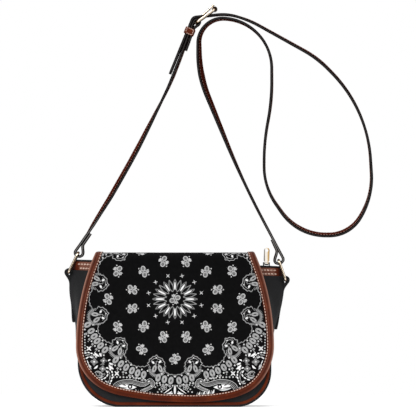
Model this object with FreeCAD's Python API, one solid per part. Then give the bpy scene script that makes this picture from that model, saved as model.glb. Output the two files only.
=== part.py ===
import FreeCAD, Part
import math
import os

# A saddle handbag with a flap, a zipped mouth and a buckled shoulder strap.
# Sizes are millimetres. X runs to the right of the front, Y to the back, Z up.
# The origin is the middle of the base, on the surface the bag stands on.

# Main sizes
bag_width = 208.0
bag_height = 164.4
base_depth = 78.0
strap_height = 422.0
strap_width = 19.0

# Sheet thicknesses
panel_thick = 2.0
gusset_thick = 1.8
lining_thick = 0.8
board_thick = 2.0
flap_thick = 1.6
flap_lining_thick = 1.0
cover_thick = 0.9
strap_thick = 2.6
band_thick = 0.8
tape_thick = 0.8
facing_thick = 2.0
tab_thick = 2.4

# Clearances and overruns
overrun = 6.0
foot_trim = 0.4
seat_gap = 0.3
run_gap = 0.08
flap_gap = 0.4
lining_gap = 1.6
weld = 0.1

# Body shape
body_share = 0.985
corner_share = 0.24
mouth_share = 0.916
mouth_half_share = 0.394
taper_share = 0.256
fold_half = 8.0
left_flare = 5.2
right_flare = 10.6
mouth_droop = 6.8
rim_edge = 1.4
rim_band = 5.2
band_height = 8.5

# Flap shape
flap_half_share = 0.506
flap_top_half_share = 0.407
flap_widest_share = 0.39
flap_corner_share = 0.8183
flap_lip = 5.4
flap_band = 8.0
crease_share = 0.92
bend_radius = 11.0
lift_share = 0.85
sewn_height = 30.0
seam_half_share = 0.35

# Zip
zip_half_gap = 7.0
tape_half = 11.5
tooth_reach = 3.0
tooth_head = 0.8
tooth_thick = 2.2
tooth_long = 1.2
tooth_pitch = 3.0
zip_left_share = 0.4517
zip_right_share = 0.487
slider_long = 11.0
slider_wide = 10.0
slider_plate = 1.2
slider_lip = 0.8
slider_post = 1.6
lug_high = 3.6
lug_thick = 1.2
lug_gap = 5.0
pin_radius = 0.7
pull_long = 17.0
pull_wide = 6.0
pull_thick = 1.4
pull_eye_radius = 1.6

# Metal rings, buckle and magnet
wire_radius = 1.5
mitred = 1  # corner kind of the swept wire
frame_half = 12.5
ring_long = 23.5
left_ring_lean = 26.0
right_ring_lean = 21.0
left_ring_share = 0.867
right_ring_share = 0.82
buckle_long = 23.6
buckle_angle = 36.0
buckle_x_share = 0.1115
buckle_z_share = 0.9705
roller_radius = 2.9
prong_radius = 1.0
prong_half = 1.5
prong_eye_radius = 2.7
prong_slot_half = 2.0
prong_over = 2.5
prong_rise = 1.7
slot_half = 1.7
slot_start = 0.6
slot_long = 12.4
hole_radius = 1.6
hole_pitch = 17.0
hole_count = 2
magnet_radius = 7.5
magnet_share = 0.27
socket_thick = 1.0
stud_thick = 0.9
post_radius = 2.2
post_hole_radius = 2.8
shank_radius = 1.8
washer_radius = 6.0
washer_thick = 0.8

# Side tabs, strap loops and keeper
tab_width = 15.0
tab_long = 50.0
tab_neck = 15.0
tab_standoff = 6.6
tab_leather = 1.2
loop_clear = 0.25
fold_taper = 7.5
fold_long = 27.0
tail_long = 57.0
keeper_long = 8.0
keeper_drop = 12.0
keeper_wall = 1.3

# Strap route: across and up as shares of the bag width and the strap height,
# then the share of the shorter neighbouring run that the bend takes.
left_leg_share = (-0.153, 0.669)
loop_shares = (
    (0.384, 0.979, 0.50),
    (0.734, 0.878, 0.22),
    (1.005, 0.753, 0.70),
    (1.012, 0.531, 0.50),
    (0.894, 0.430, 0.46),
    (0.627, 0.430, 0.54),
    (0.454, 0.553, 0.46),
    (0.454, 0.667, 0.45),
    (0.493, 0.773, 0.45),
    (0.493, 0.978, 0.64),
    (0.114, 0.978, 0.43),
    (0.114, 0.836, 0.40),
)
exit_share = 0.45
exit_bend_share = 0.45
leg_bend_share = 0.45

# Worked-out sizes
half_width = body_share * bag_width / 2
corner_radius = corner_share * bag_width
mouth_height = mouth_share * bag_height
mouth_half = mouth_half_share * bag_width
side_step = half_width - mouth_half
side_rise = mouth_height - corner_radius
side_radius = (side_step ** 2 + side_rise ** 2) / (2 * side_step)
body_top = bag_height + overrun
lean = math.atan(taper_share * base_depth / 2 / mouth_height)
droop = math.atan(mouth_droop / bag_width)
lining_inset = gusset_thick + board_thick + seat_gap

flap_half = flap_half_share * bag_width
flap_top_half = flap_top_half_share * bag_width
flap_widest = flap_widest_share * bag_height
flap_step = flap_half - flap_top_half
flap_rise = bag_height - flap_widest
flap_side_radius = (flap_step ** 2 + flap_rise ** 2) / (2 * flap_step)
flap_drop = flap_widest - flap_lip
flap_corner = flap_corner_share * flap_drop
flap_low_radius = (flap_half ** 2 + flap_drop ** 2 - 2 * flap_half * flap_corner) / (
    2 * (flap_drop - flap_corner)
)
flap_inner = panel_thick + cover_thick + flap_gap
flap_sheet = flap_inner + cover_thick
flap_face = flap_sheet + flap_lining_thick
flap_skin = flap_face + flap_thick
flap_outer = flap_skin + cover_thick
crease_height = crease_share * bag_height
lift_height = lift_share * bag_height

loop_radius = wire_radius + loop_clear + strap_thick / 2
tail_radius = loop_radius + strap_thick + seat_gap
pass_radius = roller_radius + seat_gap + strap_thick / 2

V = FreeCAD.Vector
origin = V(0, 0, 0)
across = V(1, 0, 0)
back = V(0, 1, 0)
up = V(0, 0, 1)


def spot(x, z):
    return V(x, 0, z)


def line(a, b):
    return Part.makeLine(a, b)


def arc(centre, radius, start, end):
    # Arc in the XZ plane, angles in radians from +X towards +Z.
    at = [start, (start + end) / 2, end]
    ends = [centre + spot(math.cos(a), math.sin(a)) * radius for a in at]
    return Part.Arc(*ends).toShape()


def box(low, high):
    size = high.sub(low)
    return Part.makeBox(size.x, size.y, size.z, low)


def plate(wire, low, high):
    # Flat sheet with the outline of the wire between two depths.
    face = Part.Face(wire).translated(back * low)
    return face.extrude(back * (high - low))


def mirror_x(shape):
    return shape.mirror(origin, across)


def to_front(shape):
    # Panels are drawn upright and then leaned in towards the mouth.
    leaned = shape.rotated(origin, across, -math.degrees(lean))
    return leaned.translated(back * (-base_depth / 2))


def to_rear(shape):
    return to_front(shape).mirror(origin, back)


def to_mouth(shape):
    # The mouth lies in a plane that droops to the right.
    turned = shape.rotated(origin, back, math.degrees(droop))
    return turned.translated(up * mouth_height)


def closed(right):
    # Closes a right-hand half outline, drawn from the foot to the top, with its mirror image.
    left = [mirror_x(edge) for edge in right]
    foot = right[0].Vertexes[0].Point
    head = right[-1].Vertexes[-1].Point
    if right[-1].Vertexes[0].Point.z > head.z:
        head = right[-1].Vertexes[0].Point
    edges = list(right) + left
    edges.append(line(head, spot(-head.x, head.z)))
    if abs(foot.x) > weld:
        edges.append(line(spot(-foot.x, foot.z), foot))
    return Part.Wire(Part.__sortEdges__(edges))


def body_outline(inset, top):
    # Flat foot, round corners, and sides that close in towards the mouth.
    corner = spot(half_width - corner_radius, corner_radius)
    side = spot(half_width - side_radius, corner_radius)
    reach = side_radius - inset
    end = math.asin((top - corner_radius) / reach)
    lower = arc(corner, corner_radius - inset, -math.pi / 2, 0)
    return closed([lower, arc(side, reach, 0, end)])


def fold_outline(inset, top):
    # The same foot with straight sides flared outwards, more on the right than on the left.
    corner = spot(half_width - corner_radius, corner_radius)
    knee = spot(half_width - inset, corner_radius)
    rise = (top - corner_radius) / side_rise
    right = spot(knee.x + right_flare * rise, top)
    left = spot(-knee.x - left_flare * rise, top)
    lower = arc(corner, corner_radius - inset, -math.pi / 2, 0)
    foot = spot(corner.x, inset)
    edges = [
        line(spot(-foot.x, foot.z), foot),
        lower,
        line(knee, right),
        line(right, left),
        line(left, spot(-knee.x, knee.z)),
        mirror_x(lower),
    ]
    return Part.Wire(Part.__sortEdges__(edges))


def body_block(inset, wall, top):
    # Solid space inside the body, from the front outline over the fold to the rear one.
    front = body_outline(inset, top).translated(back * wall)
    fold = fold_outline(inset, top)
    wires = [
        to_front(front),
        fold.translated(back * -fold_half),
        fold.translated(back * fold_half),
        to_rear(front),
    ]
    return Part.makeLoft(wires, True, True).translated(up * -foot_trim)


def mouth_box(x0, x1, y0, y1, z0, z1):
    return to_mouth(box(V(x0, y0, z0), V(x1, y1, z1)))


def below_mouth(shape):
    return shape.cut(mouth_box(-bag_width, bag_width, -bag_width, bag_width, 0, bag_height))


def above_floor(shape):
    floor = box(
        V(-bag_width, -bag_width, -bag_height),
        V(bag_width, bag_width, 0),
    )
    return shape.cut(floor)


def flap_side(inset, low, high):
    # Side edge of the flap between two heights.
    centre = spot(flap_half - flap_side_radius, flap_widest)
    reach = flap_side_radius - inset
    start = math.asin((low - flap_widest) / reach)
    end = math.asin((high - flap_widest) / reach)
    return arc(centre, reach, start, end)


def flap_outline(inset):
    # Shallow lower edge, round corners, and sides that close in towards the crease.
    low_centre = spot(0, flap_lip + flap_low_radius)
    corner = spot(flap_half - flap_corner, flap_widest)
    way = corner.sub(low_centre)
    meet = math.atan2(way.z, way.x)
    right = [
        arc(low_centre, flap_low_radius - inset, -math.pi / 2, meet),
        arc(corner, flap_corner - inset, meet, 0),
        flap_side(inset, flap_widest, crease_height + overrun),
    ]
    return closed(right)


def below_crease(shape):
    # Flap front leaned into place and ended level at the crease.
    above = box(V(-bag_width, -bag_width, crease_height), V(bag_width, bag_width, 2 * bag_height))
    return to_front(shape).cut(above)


def flap_section(inner, outer, low, high):
    # Flap sheet in side view: up the rear, over the top and down to the crease.
    def side(depth, height, sign):
        y = -base_depth / 2 + height * math.tan(lean) - depth / math.cos(lean)
        return V(0, sign * y, height)

    def bend(depth, sign):
        radius = bend_radius + depth - flap_outer
        height = bag_height - bend_radius
        centre = side(flap_outer - bend_radius, height, sign)
        turns = [0, (math.pi / 2 - lean) / 2, math.pi / 2 - lean]
        return [
            centre + V(0, -sign * math.sin(t), math.cos(t)) * radius
            for t in turns
        ]

    def run(depth):
        front = bend(depth, 1)
        rear = bend(depth, -1)
        return [
            line(side(depth, low, -1), rear[2]),
            Part.Arc(rear[2], rear[1], rear[0]).toShape(),
            line(rear[0], front[0]),
            Part.Arc(*front).toShape(),
            line(front[2], side(depth, high, 1)),
        ]

    edges = run(inner) + run(outer)
    edges.append(line(side(inner, low, -1), side(outer, low, -1)))
    edges.append(line(side(inner, high, 1), side(outer, high, 1)))
    face = Part.Face(Part.Wire(Part.__sortEdges__(edges)))
    return face.translated(across * -bag_width).extrude(across * (2 * bag_width))


def flap_width_block(inset, low, high):
    # Everything between the side edges of the flap.
    edge = flap_side(inset, low, high)
    return plate(closed([edge]), -bag_width, bag_width)


def flap_over(inner, outer, inset):
    sheet = flap_section(inner, outer, lift_height - sewn_height, crease_height)
    wide = flap_width_block(inset, flap_widest, bag_height + overrun)
    return sheet.common(wide)


def split_at_lift(shape):
    # Parts the flap at the line above the seam where it lifts off the rear panel.
    rear = box(
        V(-bag_width, 0, 0),
        V(bag_width, bag_width, lift_height),
    )
    return shape.common(rear), shape.cut(rear)


def rounded_path(points, shares):
    # Straight runs with a tangent bend at each inner point.
    # A run is (line, start, end) and a bend is (arc, centre, radius, first angle, turn).
    pieces = []
    here = points[0]
    for i, share in enumerate(shares):
        before = points[i].sub(points[i + 1])
        after = points[i + 2].sub(points[i + 1])
        reach = share * min(before.Length, after.Length)
        before.normalize()
        after.normalize()
        half = math.acos(before.dot(after)) / 2
        radius = reach * math.tan(half)
        middle = (before + after).normalize()
        centre = points[i + 1] + middle * (radius / math.sin(half))
        start = points[i + 1] + before * reach
        end = points[i + 1] + after * reach
        first = math.atan2(start.z - centre.z, start.x - centre.x)
        last = math.atan2(end.z - centre.z, end.x - centre.x)
        turn = (last - first + math.pi) % (2 * math.pi) - math.pi
        pieces.append(("line", here, start))
        pieces.append(("arc", centre, radius, first, turn))
        here = end
    pieces.append(("line", here, points[-1]))
    return pieces


def ribbon(pieces):
    # Strap leather on both sides of a path, as wide as the strap.
    half = strap_thick / 2
    edges = []
    caps = []
    for side in (half, -half):
        ends = []
        for piece in pieces:
            if piece[0] == "line":
                way = piece[2].sub(piece[1]).normalize()
                off = spot(-way.z, way.x) * side
                edges.append(line(piece[1] + off, piece[2] + off))
                ends += [piece[1] + off, piece[2] + off]
            else:
                centre, radius, first, turn = piece[1:]
                wide = radius - side * math.copysign(1, turn)
                edges.append(arc(centre, wide, first, first + turn))
                for angle in (first, first + turn):
                    ends.append(centre + spot(math.cos(angle), math.sin(angle)) * wide)
        caps.append((ends[0], ends[-1]))
    edges.append(line(caps[0][0], caps[1][0]))
    edges.append(line(caps[0][1], caps[1][1]))
    wire = Part.Wire(Part.__sortEdges__(edges))
    return plate(wire, -strap_width / 2, strap_width / 2)


def strap_turn(bar, away, inner):
    # The strap's end: round a bar, then folded back against the strap and sewn down.
    foot = bar - inner * loop_radius
    meet = bar + inner * (strap_thick - weld - loop_radius) + away * fold_taper
    end = meet + away * (fold_long - fold_taper)
    slope = meet.sub(bar)
    lean_back = math.acos(loop_radius / slope.Length)
    sense = math.copysign(1, away.x * inner.z - away.z * inner.x)
    touch = math.atan2(slope.z, slope.x) + sense * lean_back
    first = math.atan2(foot.z - bar.z, foot.x - bar.x)
    turn = touch - first
    while turn * sense > 0:
        turn -= sense * 2 * math.pi
    point = bar + spot(math.cos(touch), math.sin(touch)) * loop_radius
    pieces = [("arc", bar, loop_radius, first, turn)]
    pieces += rounded_path([point, meet, end], [leg_bend_share])
    return ribbon(pieces)


def rod(radius, half, centre):
    base = centre - back * half
    return Part.makeCylinder(radius, 2 * half, base, back)


def wire_frame(length, direction, bar):
    # Rectangular wire frame: one bar at the given point, the other along the direction.
    way = direction * length
    half = back * frame_half
    corners = [bar + half, bar + half + way, bar - half + way, bar - half]
    route = Part.makePolygon([bar] + corners + [bar])
    section = Part.Wire(Part.makeCircle(wire_radius, bar, back))
    return route.makePipeShell([section], True, False, mitred)


def side_tab(flare, height):
    # Leather tab on the flat of the gusset, drawn for the right: a strip with a loop at its top.
    tilt = math.atan(flare / side_rise)
    centre = spot(tab_standoff, 0)
    outer = wire_radius + loop_clear + tab_leather
    inner = wire_radius + loop_clear
    low = -tab_neck
    foot = [spot(0, -tab_long), spot(tab_thick, -tab_long)]
    waist = [spot(tab_thick, low), spot(0, low)]
    strip = Part.makePolygon(foot + waist + foot[:1])
    head = [centre - across * outer, centre + across * outer]
    neck = Part.makePolygon(head + waist + head[:1])
    half = tab_width / 2
    solid = plate(strip, -half, half).fuse(plate(neck, -half, half))
    solid = solid.fuse(rod(outer, half, centre))
    solid = solid.cut(rod(inner, half + overrun, centre))
    ends = Part.makeCylinder(half, 2 * tab_thick, V(-tab_thick / 2, 0, half - tab_long), across)
    block = box(
        V(-bag_width, -bag_width, half - tab_long),
        V(bag_width, bag_width, bag_height),
    )
    solid = solid.common(block).fuse(solid.common(ends)).removeSplitter()
    turned = solid.rotated(origin, back, math.degrees(tilt))
    rise = height + foot_trim - corner_radius
    return turned.translated(spot(half_width + flare * rise / side_rise, height))


def tab_bar(flare, height):
    # Centre of the tab's loop, on the right.
    tilt = math.atan(flare / side_rise)
    rise = height + foot_trim - corner_radius
    base = spot(half_width + flare * rise / side_rise, height)
    return base + spot(math.cos(tilt), -math.sin(tilt)) * tab_standoff


def flip(point):
    return spot(-point.x, point.z)


parts = {}

# Body: leaned panels, the gusset between them and the edge binding
panel = plate(body_outline(0, body_top), -panel_thick, 0)
rim = plate(body_outline(rim_edge, body_top), -panel_thick - cover_thick, -panel_thick)
rim = rim.cut(plate(body_outline(rim_band, body_top + overrun), -bag_width, bag_width))
magnet_height = magnet_share * bag_height
shank_hole = Part.makeCylinder(shank_radius, 2 * bag_width, V(0, -bag_width, magnet_height), back)
parts["front_panel"] = below_mouth(to_front(panel.cut(shank_hole)))
parts["back_panel"] = below_mouth(to_rear(panel))
parts["front_binding"] = below_mouth(to_front(rim))
parts["back_binding"] = below_mouth(to_rear(rim))

outer_block = body_block(0, 0, body_top)
inner_block = body_block(gusset_thick, 0, body_top + overrun)
parts["gusset"] = above_floor(below_mouth(outer_block.cut(inner_block)))

board_half = half_width - corner_radius
board_low = gusset_thick - foot_trim
parts["base_board"] = box(
    V(-board_half, seat_gap - base_depth / 2, board_low),
    V(board_half, base_depth / 2 - seat_gap, board_low + board_thick),
)

lining_block = body_block(lining_inset, lining_gap, body_top)
lining_space = body_block(lining_inset + lining_thick, lining_gap + lining_thick, body_top + overrun)
parts["lining"] = below_mouth(lining_block.cut(lining_space))

# Brown band round the top of each gusset side
band = body_block(-band_thick, 0, body_top).cut(outer_block)
band = band.common(mouth_box(-bag_width, bag_width, -bag_width, bag_width, -band_height, 0))
left_half = box(
    V(-bag_width, -bag_width, 0), V(0, bag_width, bag_height)
)
parts["mouth_band_left"] = band.common(left_half)
parts["mouth_band_right"] = band.cut(left_half)

# Zip: facings on the mouth edges, tapes under them, and teeth that mesh along the middle
parts["zip_facing_front"] = outer_block.common(
    mouth_box(-bag_width, bag_width, -base_depth, -zip_half_gap, 0, facing_thick)
)
parts["zip_facing_back"] = outer_block.common(
    mouth_box(-bag_width, bag_width, zip_half_gap, base_depth, 0, facing_thick)
)
zip_right = zip_right_share * bag_width
zip_left = -zip_left_share * bag_width
tape_space = body_block(lining_inset + lining_thick + seat_gap, lining_gap, body_top)
tooth_count = int((zip_right - zip_left) / tooth_pitch)
tooth_middle = -tape_thick / 2
for name, sign in (("front", -1), ("back", 1)):
    ends = sorted((sign * tape_half, sign * tooth_reach))
    tape = mouth_box(zip_left, zip_right, ends[0], ends[1], -tape_thick, 0)
    parts["zip_tape_" + name] = tape.common(tape_space)
    first = zip_left + (tooth_pitch / 2 if sign > 0 else 0)
    reach = sorted((sign * tooth_reach, -sign * tooth_head))
    teeth = []
    for i in range(tooth_count):
        x = first + i * tooth_pitch
        teeth.append(
            mouth_box(
                x, x + tooth_long, reach[0], reach[1],
                tooth_middle - tooth_thick / 2, tooth_middle + tooth_thick / 2,
            )
        )
    parts["zip_teeth_" + name] = Part.makeCompound(teeth)

# Slider: two plates joined by a post past the last tooth, with lugs and a pin for the pull
last_tooth = zip_left + tooth_count * tooth_pitch
slider_right = last_tooth + slider_post + seat_gap
slider_left = slider_right - slider_long
plate_low = tooth_middle + tooth_thick / 2 + seat_gap
plate_high = plate_low + slider_plate
under_high = tooth_middle - tooth_thick / 2 - seat_gap
slider_half = slider_wide / 2
slider = box(V(slider_left, -slider_half, plate_low), V(slider_right, slider_half, plate_high))
slider = slider.fuse(
    box(V(slider_left, -slider_half, under_high - slider_plate), V(slider_right, slider_half, under_high))
)
post_half = slider_post / 2
slider = slider.fuse(
    box(V(slider_right - slider_post, -post_half, under_high), V(slider_right, post_half, plate_low))
)
for side in (-1, 1):
    ends = sorted((side * slider_half, side * (slider_half - slider_lip)))
    slider = slider.fuse(
        box(V(slider_left, ends[0], seat_gap), V(slider_right, ends[1], plate_low))
    )
pull_x = (slider_left + slider_right) / 2
pin_height = plate_high + lug_high - 2 * pin_radius
for side in (-1, 1):
    ends = sorted((side * lug_gap / 2, side * (lug_gap / 2 + lug_thick)))
    lug = box(
        V(pull_x + ends[0], -2 * pin_radius, plate_high),
        V(pull_x + ends[1], 2 * pin_radius, plate_high + lug_high),
    )
    slider = slider.fuse(lug)
pin = Part.makeCylinder(pin_radius, lug_gap, V(pull_x - lug_gap / 2, 0, pin_height), across)
parts["zip_slider"] = to_mouth(slider.fuse(pin))

eye_half = lug_gap / 2 - seat_gap
eye = Part.makeCylinder(pull_eye_radius, 2 * eye_half, V(pull_x - eye_half, 0, pin_height), across)
pull_half = pull_wide / 2
leaf_low = pin_height + pull_eye_radius + lug_thick
leaf_top = pin_height + pull_long - pull_half
leaf = box(V(pull_x - pull_half, -pull_thick / 2, leaf_low), V(pull_x + pull_half, pull_thick / 2, leaf_top))
leaf = leaf.fuse(rod(pull_half, pull_thick / 2, V(pull_x, 0, leaf_top)))
neck = box(V(pull_x - eye_half, -pull_thick / 2, pin_height), V(pull_x + eye_half, pull_thick / 2, leaf_low))
window = rod(pull_half - pull_thick, pull_thick, V(pull_x, 0, leaf_top))
pull = eye.fuse(neck).fuse(leaf).cut(window)
bore = Part.makeCylinder(pin_radius + run_gap, lug_gap, V(pull_x - lug_gap / 2, 0, pin_height), across)
parts["zip_pull"] = to_mouth(pull.cut(bore))

# Leather tabs that close the zip gap at both ends
for name, start, end in (
    ("left", -bag_width, zip_left - seat_gap),
    ("right", slider_right + seat_gap, bag_width),
):
    slab = mouth_box(start, end, -zip_half_gap, zip_half_gap, 0, facing_thick)
    parts["zip_end_tab_" + name] = slab.common(outer_block)

# Flap: the sewn rear strip, the top that lifts, and the front that folds up at the crease
sheet = flap_over(flap_sheet, flap_skin, cover_thick)
edge = flap_over(flap_inner, flap_outer, 0)
edge = edge.cut(flap_width_block(flap_band, flap_widest, bag_height + 2 * overrun)).cut(sheet)
parts["flap_rear"], parts["flap_top"] = split_at_lift(sheet)
parts["flap_rear_binding"], parts["flap_top_binding"] = split_at_lift(edge)

seam_half = seam_half_share * bag_width
seam = flap_section(panel_thick, flap_sheet, lift_height - sewn_height, crease_height)
parts["flap_seam_strip"] = split_at_lift(seam)[0].common(
    box(V(-seam_half, 0, 0), V(seam_half, bag_width, lift_height))
)

stud_hole = Part.makeCylinder(shank_radius, flap_lining_thick, V(0, -flap_face, magnet_height), back)
panel_sheet = plate(flap_outline(cover_thick), -flap_skin, -flap_face)
lining_sheet = plate(flap_outline(cover_thick), -flap_face, -flap_sheet)
parts["flap_panel"] = below_crease(panel_sheet)
parts["flap_lining"] = below_crease(lining_sheet.cut(stud_hole))
cover = plate(flap_outline(0), -flap_outer, -flap_inner)
hollow = plate(flap_outline(cover_thick), -flap_skin, -flap_sheet)
middle = plate(flap_outline(flap_band), -bag_width, bag_width)
parts["flap_binding"] = below_crease(cover.cut(hollow).cut(middle))

# Magnetic snap: socket on the front panel, stud on the flap
at_magnet = V(0, 0, magnet_height)
socket_face = at_magnet - back * (panel_thick + socket_thick)
socket = Part.makeCylinder(magnet_radius, socket_thick, socket_face, back)
well = Part.makeCylinder(post_hole_radius, socket_thick, socket_face, back)
shank = Part.makeCylinder(shank_radius, panel_thick + washer_thick, at_magnet - back * panel_thick, back)
well_floor = at_magnet - back * (panel_thick + socket_thick / 2)
floor_disc = Part.makeCylinder(post_hole_radius, socket_thick / 2, well_floor, back)
parts["magnet_socket"] = to_front(socket.cut(well).fuse(floor_disc).fuse(shank))
washer = Part.makeCylinder(washer_radius, washer_thick, at_magnet, back)
parts["magnet_washer"] = to_front(washer.cut(shank_hole))
stud_face = at_magnet - back * flap_sheet
stud = Part.makeCylinder(magnet_radius, stud_thick, stud_face, back)
stud = stud.fuse(Part.makeCylinder(post_radius, stud_thick + socket_thick / 2, stud_face, back))
stud = stud.fuse(
    Part.makeCylinder(shank_radius, flap_lining_thick, at_magnet - back * flap_face, back)
)
parts["magnet_stud"] = to_front(stud)

# Side tabs and their rings
left_height = left_ring_share * bag_height
right_height = right_ring_share * bag_height
parts["side_tab_left"] = mirror_x(side_tab(left_flare, left_height))
parts["side_tab_right"] = side_tab(right_flare, right_height)
left_bar = flip(tab_bar(left_flare, left_height))
right_bar = tab_bar(right_flare, right_height)
left_way = spot(math.sin(math.radians(left_ring_lean)), math.cos(math.radians(left_ring_lean)))
right_way = spot(-math.sin(math.radians(right_ring_lean)), math.cos(math.radians(right_ring_lean)))
parts["ring_left"] = wire_frame(ring_long, left_way, left_bar)
parts["ring_right"] = wire_frame(ring_long, right_way, right_bar)
left_eye = left_bar + left_way * ring_long
right_eye = right_bar + right_way * ring_long

# Buckle: wire frame with a roller on its far bar and a prong on its heel bar
heel = spot(buckle_x_share * bag_width, buckle_z_share * strap_height)
angle = math.radians(buckle_angle)
frame_way = spot(math.cos(angle), math.sin(angle))
frame_up = spot(-math.sin(angle), math.cos(angle))
far = heel + frame_way * buckle_long
parts["buckle_frame"] = wire_frame(buckle_long, frame_way, heel)
roller_half = frame_half - wire_radius - seat_gap
parts["buckle_roller"] = rod(roller_radius, roller_half, far).cut(
    rod(wire_radius + run_gap, frame_half, far)
)
tip = far + frame_up * (roller_radius + prong_radius + 2 * seat_gap) + frame_way * prong_over
root = heel + frame_up * prong_rise
prong = Part.makeCylinder(prong_radius, tip.sub(root).Length, root, tip.sub(root))
prong = prong.fuse(rod(prong_eye_radius, prong_half, heel))
parts["buckle_prong"] = prong.cut(rod(wire_radius + run_gap, frame_half, heel))

# Short strap: left ring to the buckle's heel bar, with an end folded back at both
knee = spot(left_leg_share[0] * bag_width, left_leg_share[1] * strap_height)
low_way = knee.sub(left_eye).normalize()
high_way = heel.sub(knee).normalize()
low_in = spot(low_way.z, -low_way.x)
high_in = spot(high_way.z, -high_way.x)


def crossing(a, way_a, b, way_b):
    # Point where two lines meet.
    gap = b.sub(a)
    cross = way_a.x * way_b.z - way_a.z * way_b.x
    return a + way_a * ((gap.x * way_b.z - gap.z * way_b.x) / cross)


low_start = left_eye - low_in * loop_radius
high_end = heel - high_in * loop_radius
leg_bend = crossing(low_start, low_way, high_end, high_way)
short = ribbon(rounded_path([low_start, leg_bend, high_end], [leg_bend_share]))
short = short.fuse(strap_turn(left_eye, low_way, low_in))
short = short.fuse(strap_turn(heel, high_way * -1, high_in))
prong_room = rod(prong_eye_radius + strap_thick, prong_slot_half, heel)
parts["strap_short"] = short.cut(prong_room).removeSplitter()

# Long strap: tail down the left leg, over the heel bar, under the roller, round the slack loop
# and down to the right ring
cross_angle = math.asin((tail_radius + pass_radius) / buckle_long)
exit_angle = angle - cross_angle
exit_way = spot(math.cos(exit_angle), math.sin(exit_angle))
exit_up = spot(-math.sin(exit_angle), math.cos(exit_angle))
tail_line = heel - high_in * tail_radius
exit_line = heel + exit_up * tail_radius
heel_bend = crossing(tail_line, high_way, exit_line, exit_way)
tail_end = tail_line - high_way * tail_long
exit_bend = exit_line + exit_way * (buckle_long + buckle_long * exit_share)
loop_points = [spot(x * bag_width, z * strap_height) for x, z, bend in loop_shares]
final_way = right_eye.sub(loop_points[-1]).normalize()
right_in = spot(final_way.z, -final_way.x)
right_end = right_eye - right_in * loop_radius
points = [tail_end, heel_bend, exit_bend] + loop_points + [right_end]
heel_half = (math.pi - (math.atan2(high_way.z, high_way.x) - exit_angle)) / 2
heel_reach = tail_radius / math.tan(heel_half)
heel_share = heel_reach / min(tail_end.sub(heel_bend).Length, exit_bend.sub(heel_bend).Length)
shares = [heel_share, exit_bend_share] + [bend for x, z, bend in loop_shares]
long_strap = ribbon(rounded_path(points, shares))
long_strap = long_strap.fuse(strap_turn(right_eye, final_way * -1, right_in))
slot = box(V(-slot_start, -slot_half, -strap_thick), V(slot_long - slot_start, slot_half, strap_thick))
slot = slot.rotated(origin, back, -math.degrees(exit_angle)).translated(exit_line)
long_strap = long_strap.cut(slot)
for i in range(hole_count):
    at = tail_line - high_way * (hole_pitch * (i + 1) + keeper_drop)
    hole = Part.makeCylinder(hole_radius, 2 * strap_thick, at - high_in * strap_thick, high_in)
    long_strap = long_strap.cut(hole)
parts["strap_long"] = long_strap.removeSplitter()

# Keeper round the tail and the short strap under the buckle
keeper_low = -tail_radius - strap_thick / 2 - seat_gap
keeper_high = strap_thick - weld - loop_radius + strap_thick / 2 + seat_gap
keeper_half = strap_width / 2 + seat_gap
wall = keeper_wall
keeper = box(
    V(-keeper_long / 2, -keeper_half - wall, keeper_low - wall),
    V(keeper_long / 2, keeper_half + wall, keeper_high + wall),
)
keeper = keeper.cut(
    box(V(-keeper_long, -keeper_half, keeper_low), V(keeper_long, keeper_half, keeper_high))
)
turn = math.degrees(math.atan2(high_way.z, high_way.x))
keeper = keeper.mirror(origin, up).rotated(origin, back, -turn)
parts["strap_keeper"] = keeper.translated(heel - high_way * keeper_drop)

os.makedirs("parts", exist_ok=True)
for name, shape in parts.items():
    shape.exportStep("parts/" + name + ".step")
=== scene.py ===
import math

import bmesh
import bpy
import numpy as np
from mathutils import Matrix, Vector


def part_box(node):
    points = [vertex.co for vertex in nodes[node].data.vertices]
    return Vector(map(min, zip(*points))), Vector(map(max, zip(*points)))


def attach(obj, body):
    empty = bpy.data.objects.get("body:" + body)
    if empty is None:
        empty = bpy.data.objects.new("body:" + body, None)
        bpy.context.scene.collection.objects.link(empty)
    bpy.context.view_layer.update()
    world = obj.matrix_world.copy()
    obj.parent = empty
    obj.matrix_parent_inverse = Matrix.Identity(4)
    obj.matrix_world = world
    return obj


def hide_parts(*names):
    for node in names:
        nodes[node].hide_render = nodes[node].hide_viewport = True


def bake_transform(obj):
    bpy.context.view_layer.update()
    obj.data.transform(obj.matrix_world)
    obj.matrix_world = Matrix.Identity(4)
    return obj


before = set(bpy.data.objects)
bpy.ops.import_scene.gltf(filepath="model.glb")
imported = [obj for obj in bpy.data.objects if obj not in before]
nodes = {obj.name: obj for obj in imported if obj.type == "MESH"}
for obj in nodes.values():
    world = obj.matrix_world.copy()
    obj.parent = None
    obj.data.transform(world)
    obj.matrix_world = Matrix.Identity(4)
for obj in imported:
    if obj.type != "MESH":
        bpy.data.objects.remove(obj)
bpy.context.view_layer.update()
mm = 0.001
weldReach = 2e-6        # metres; nearer points of a closed piece become one
print("frame loaded:", len(nodes), "nodes")


# Meshes

def gridFaces(rows, cols, wrapRows=False, wrapCols=False):
    # Quads between neighbouring points of a rows by cols grid, closed round where asked.
    i, j = np.meshgrid(
        np.arange(rows if wrapRows else rows - 1),
        np.arange(cols if wrapCols else cols - 1),
        indexing="ij",
    )
    down, right = (i + 1) % rows, (j + 1) % cols
    quads = [i * cols + j, down * cols + j, down * cols + right, i * cols + right]
    return np.stack(quads, -1).reshape(-1, 4)


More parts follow.
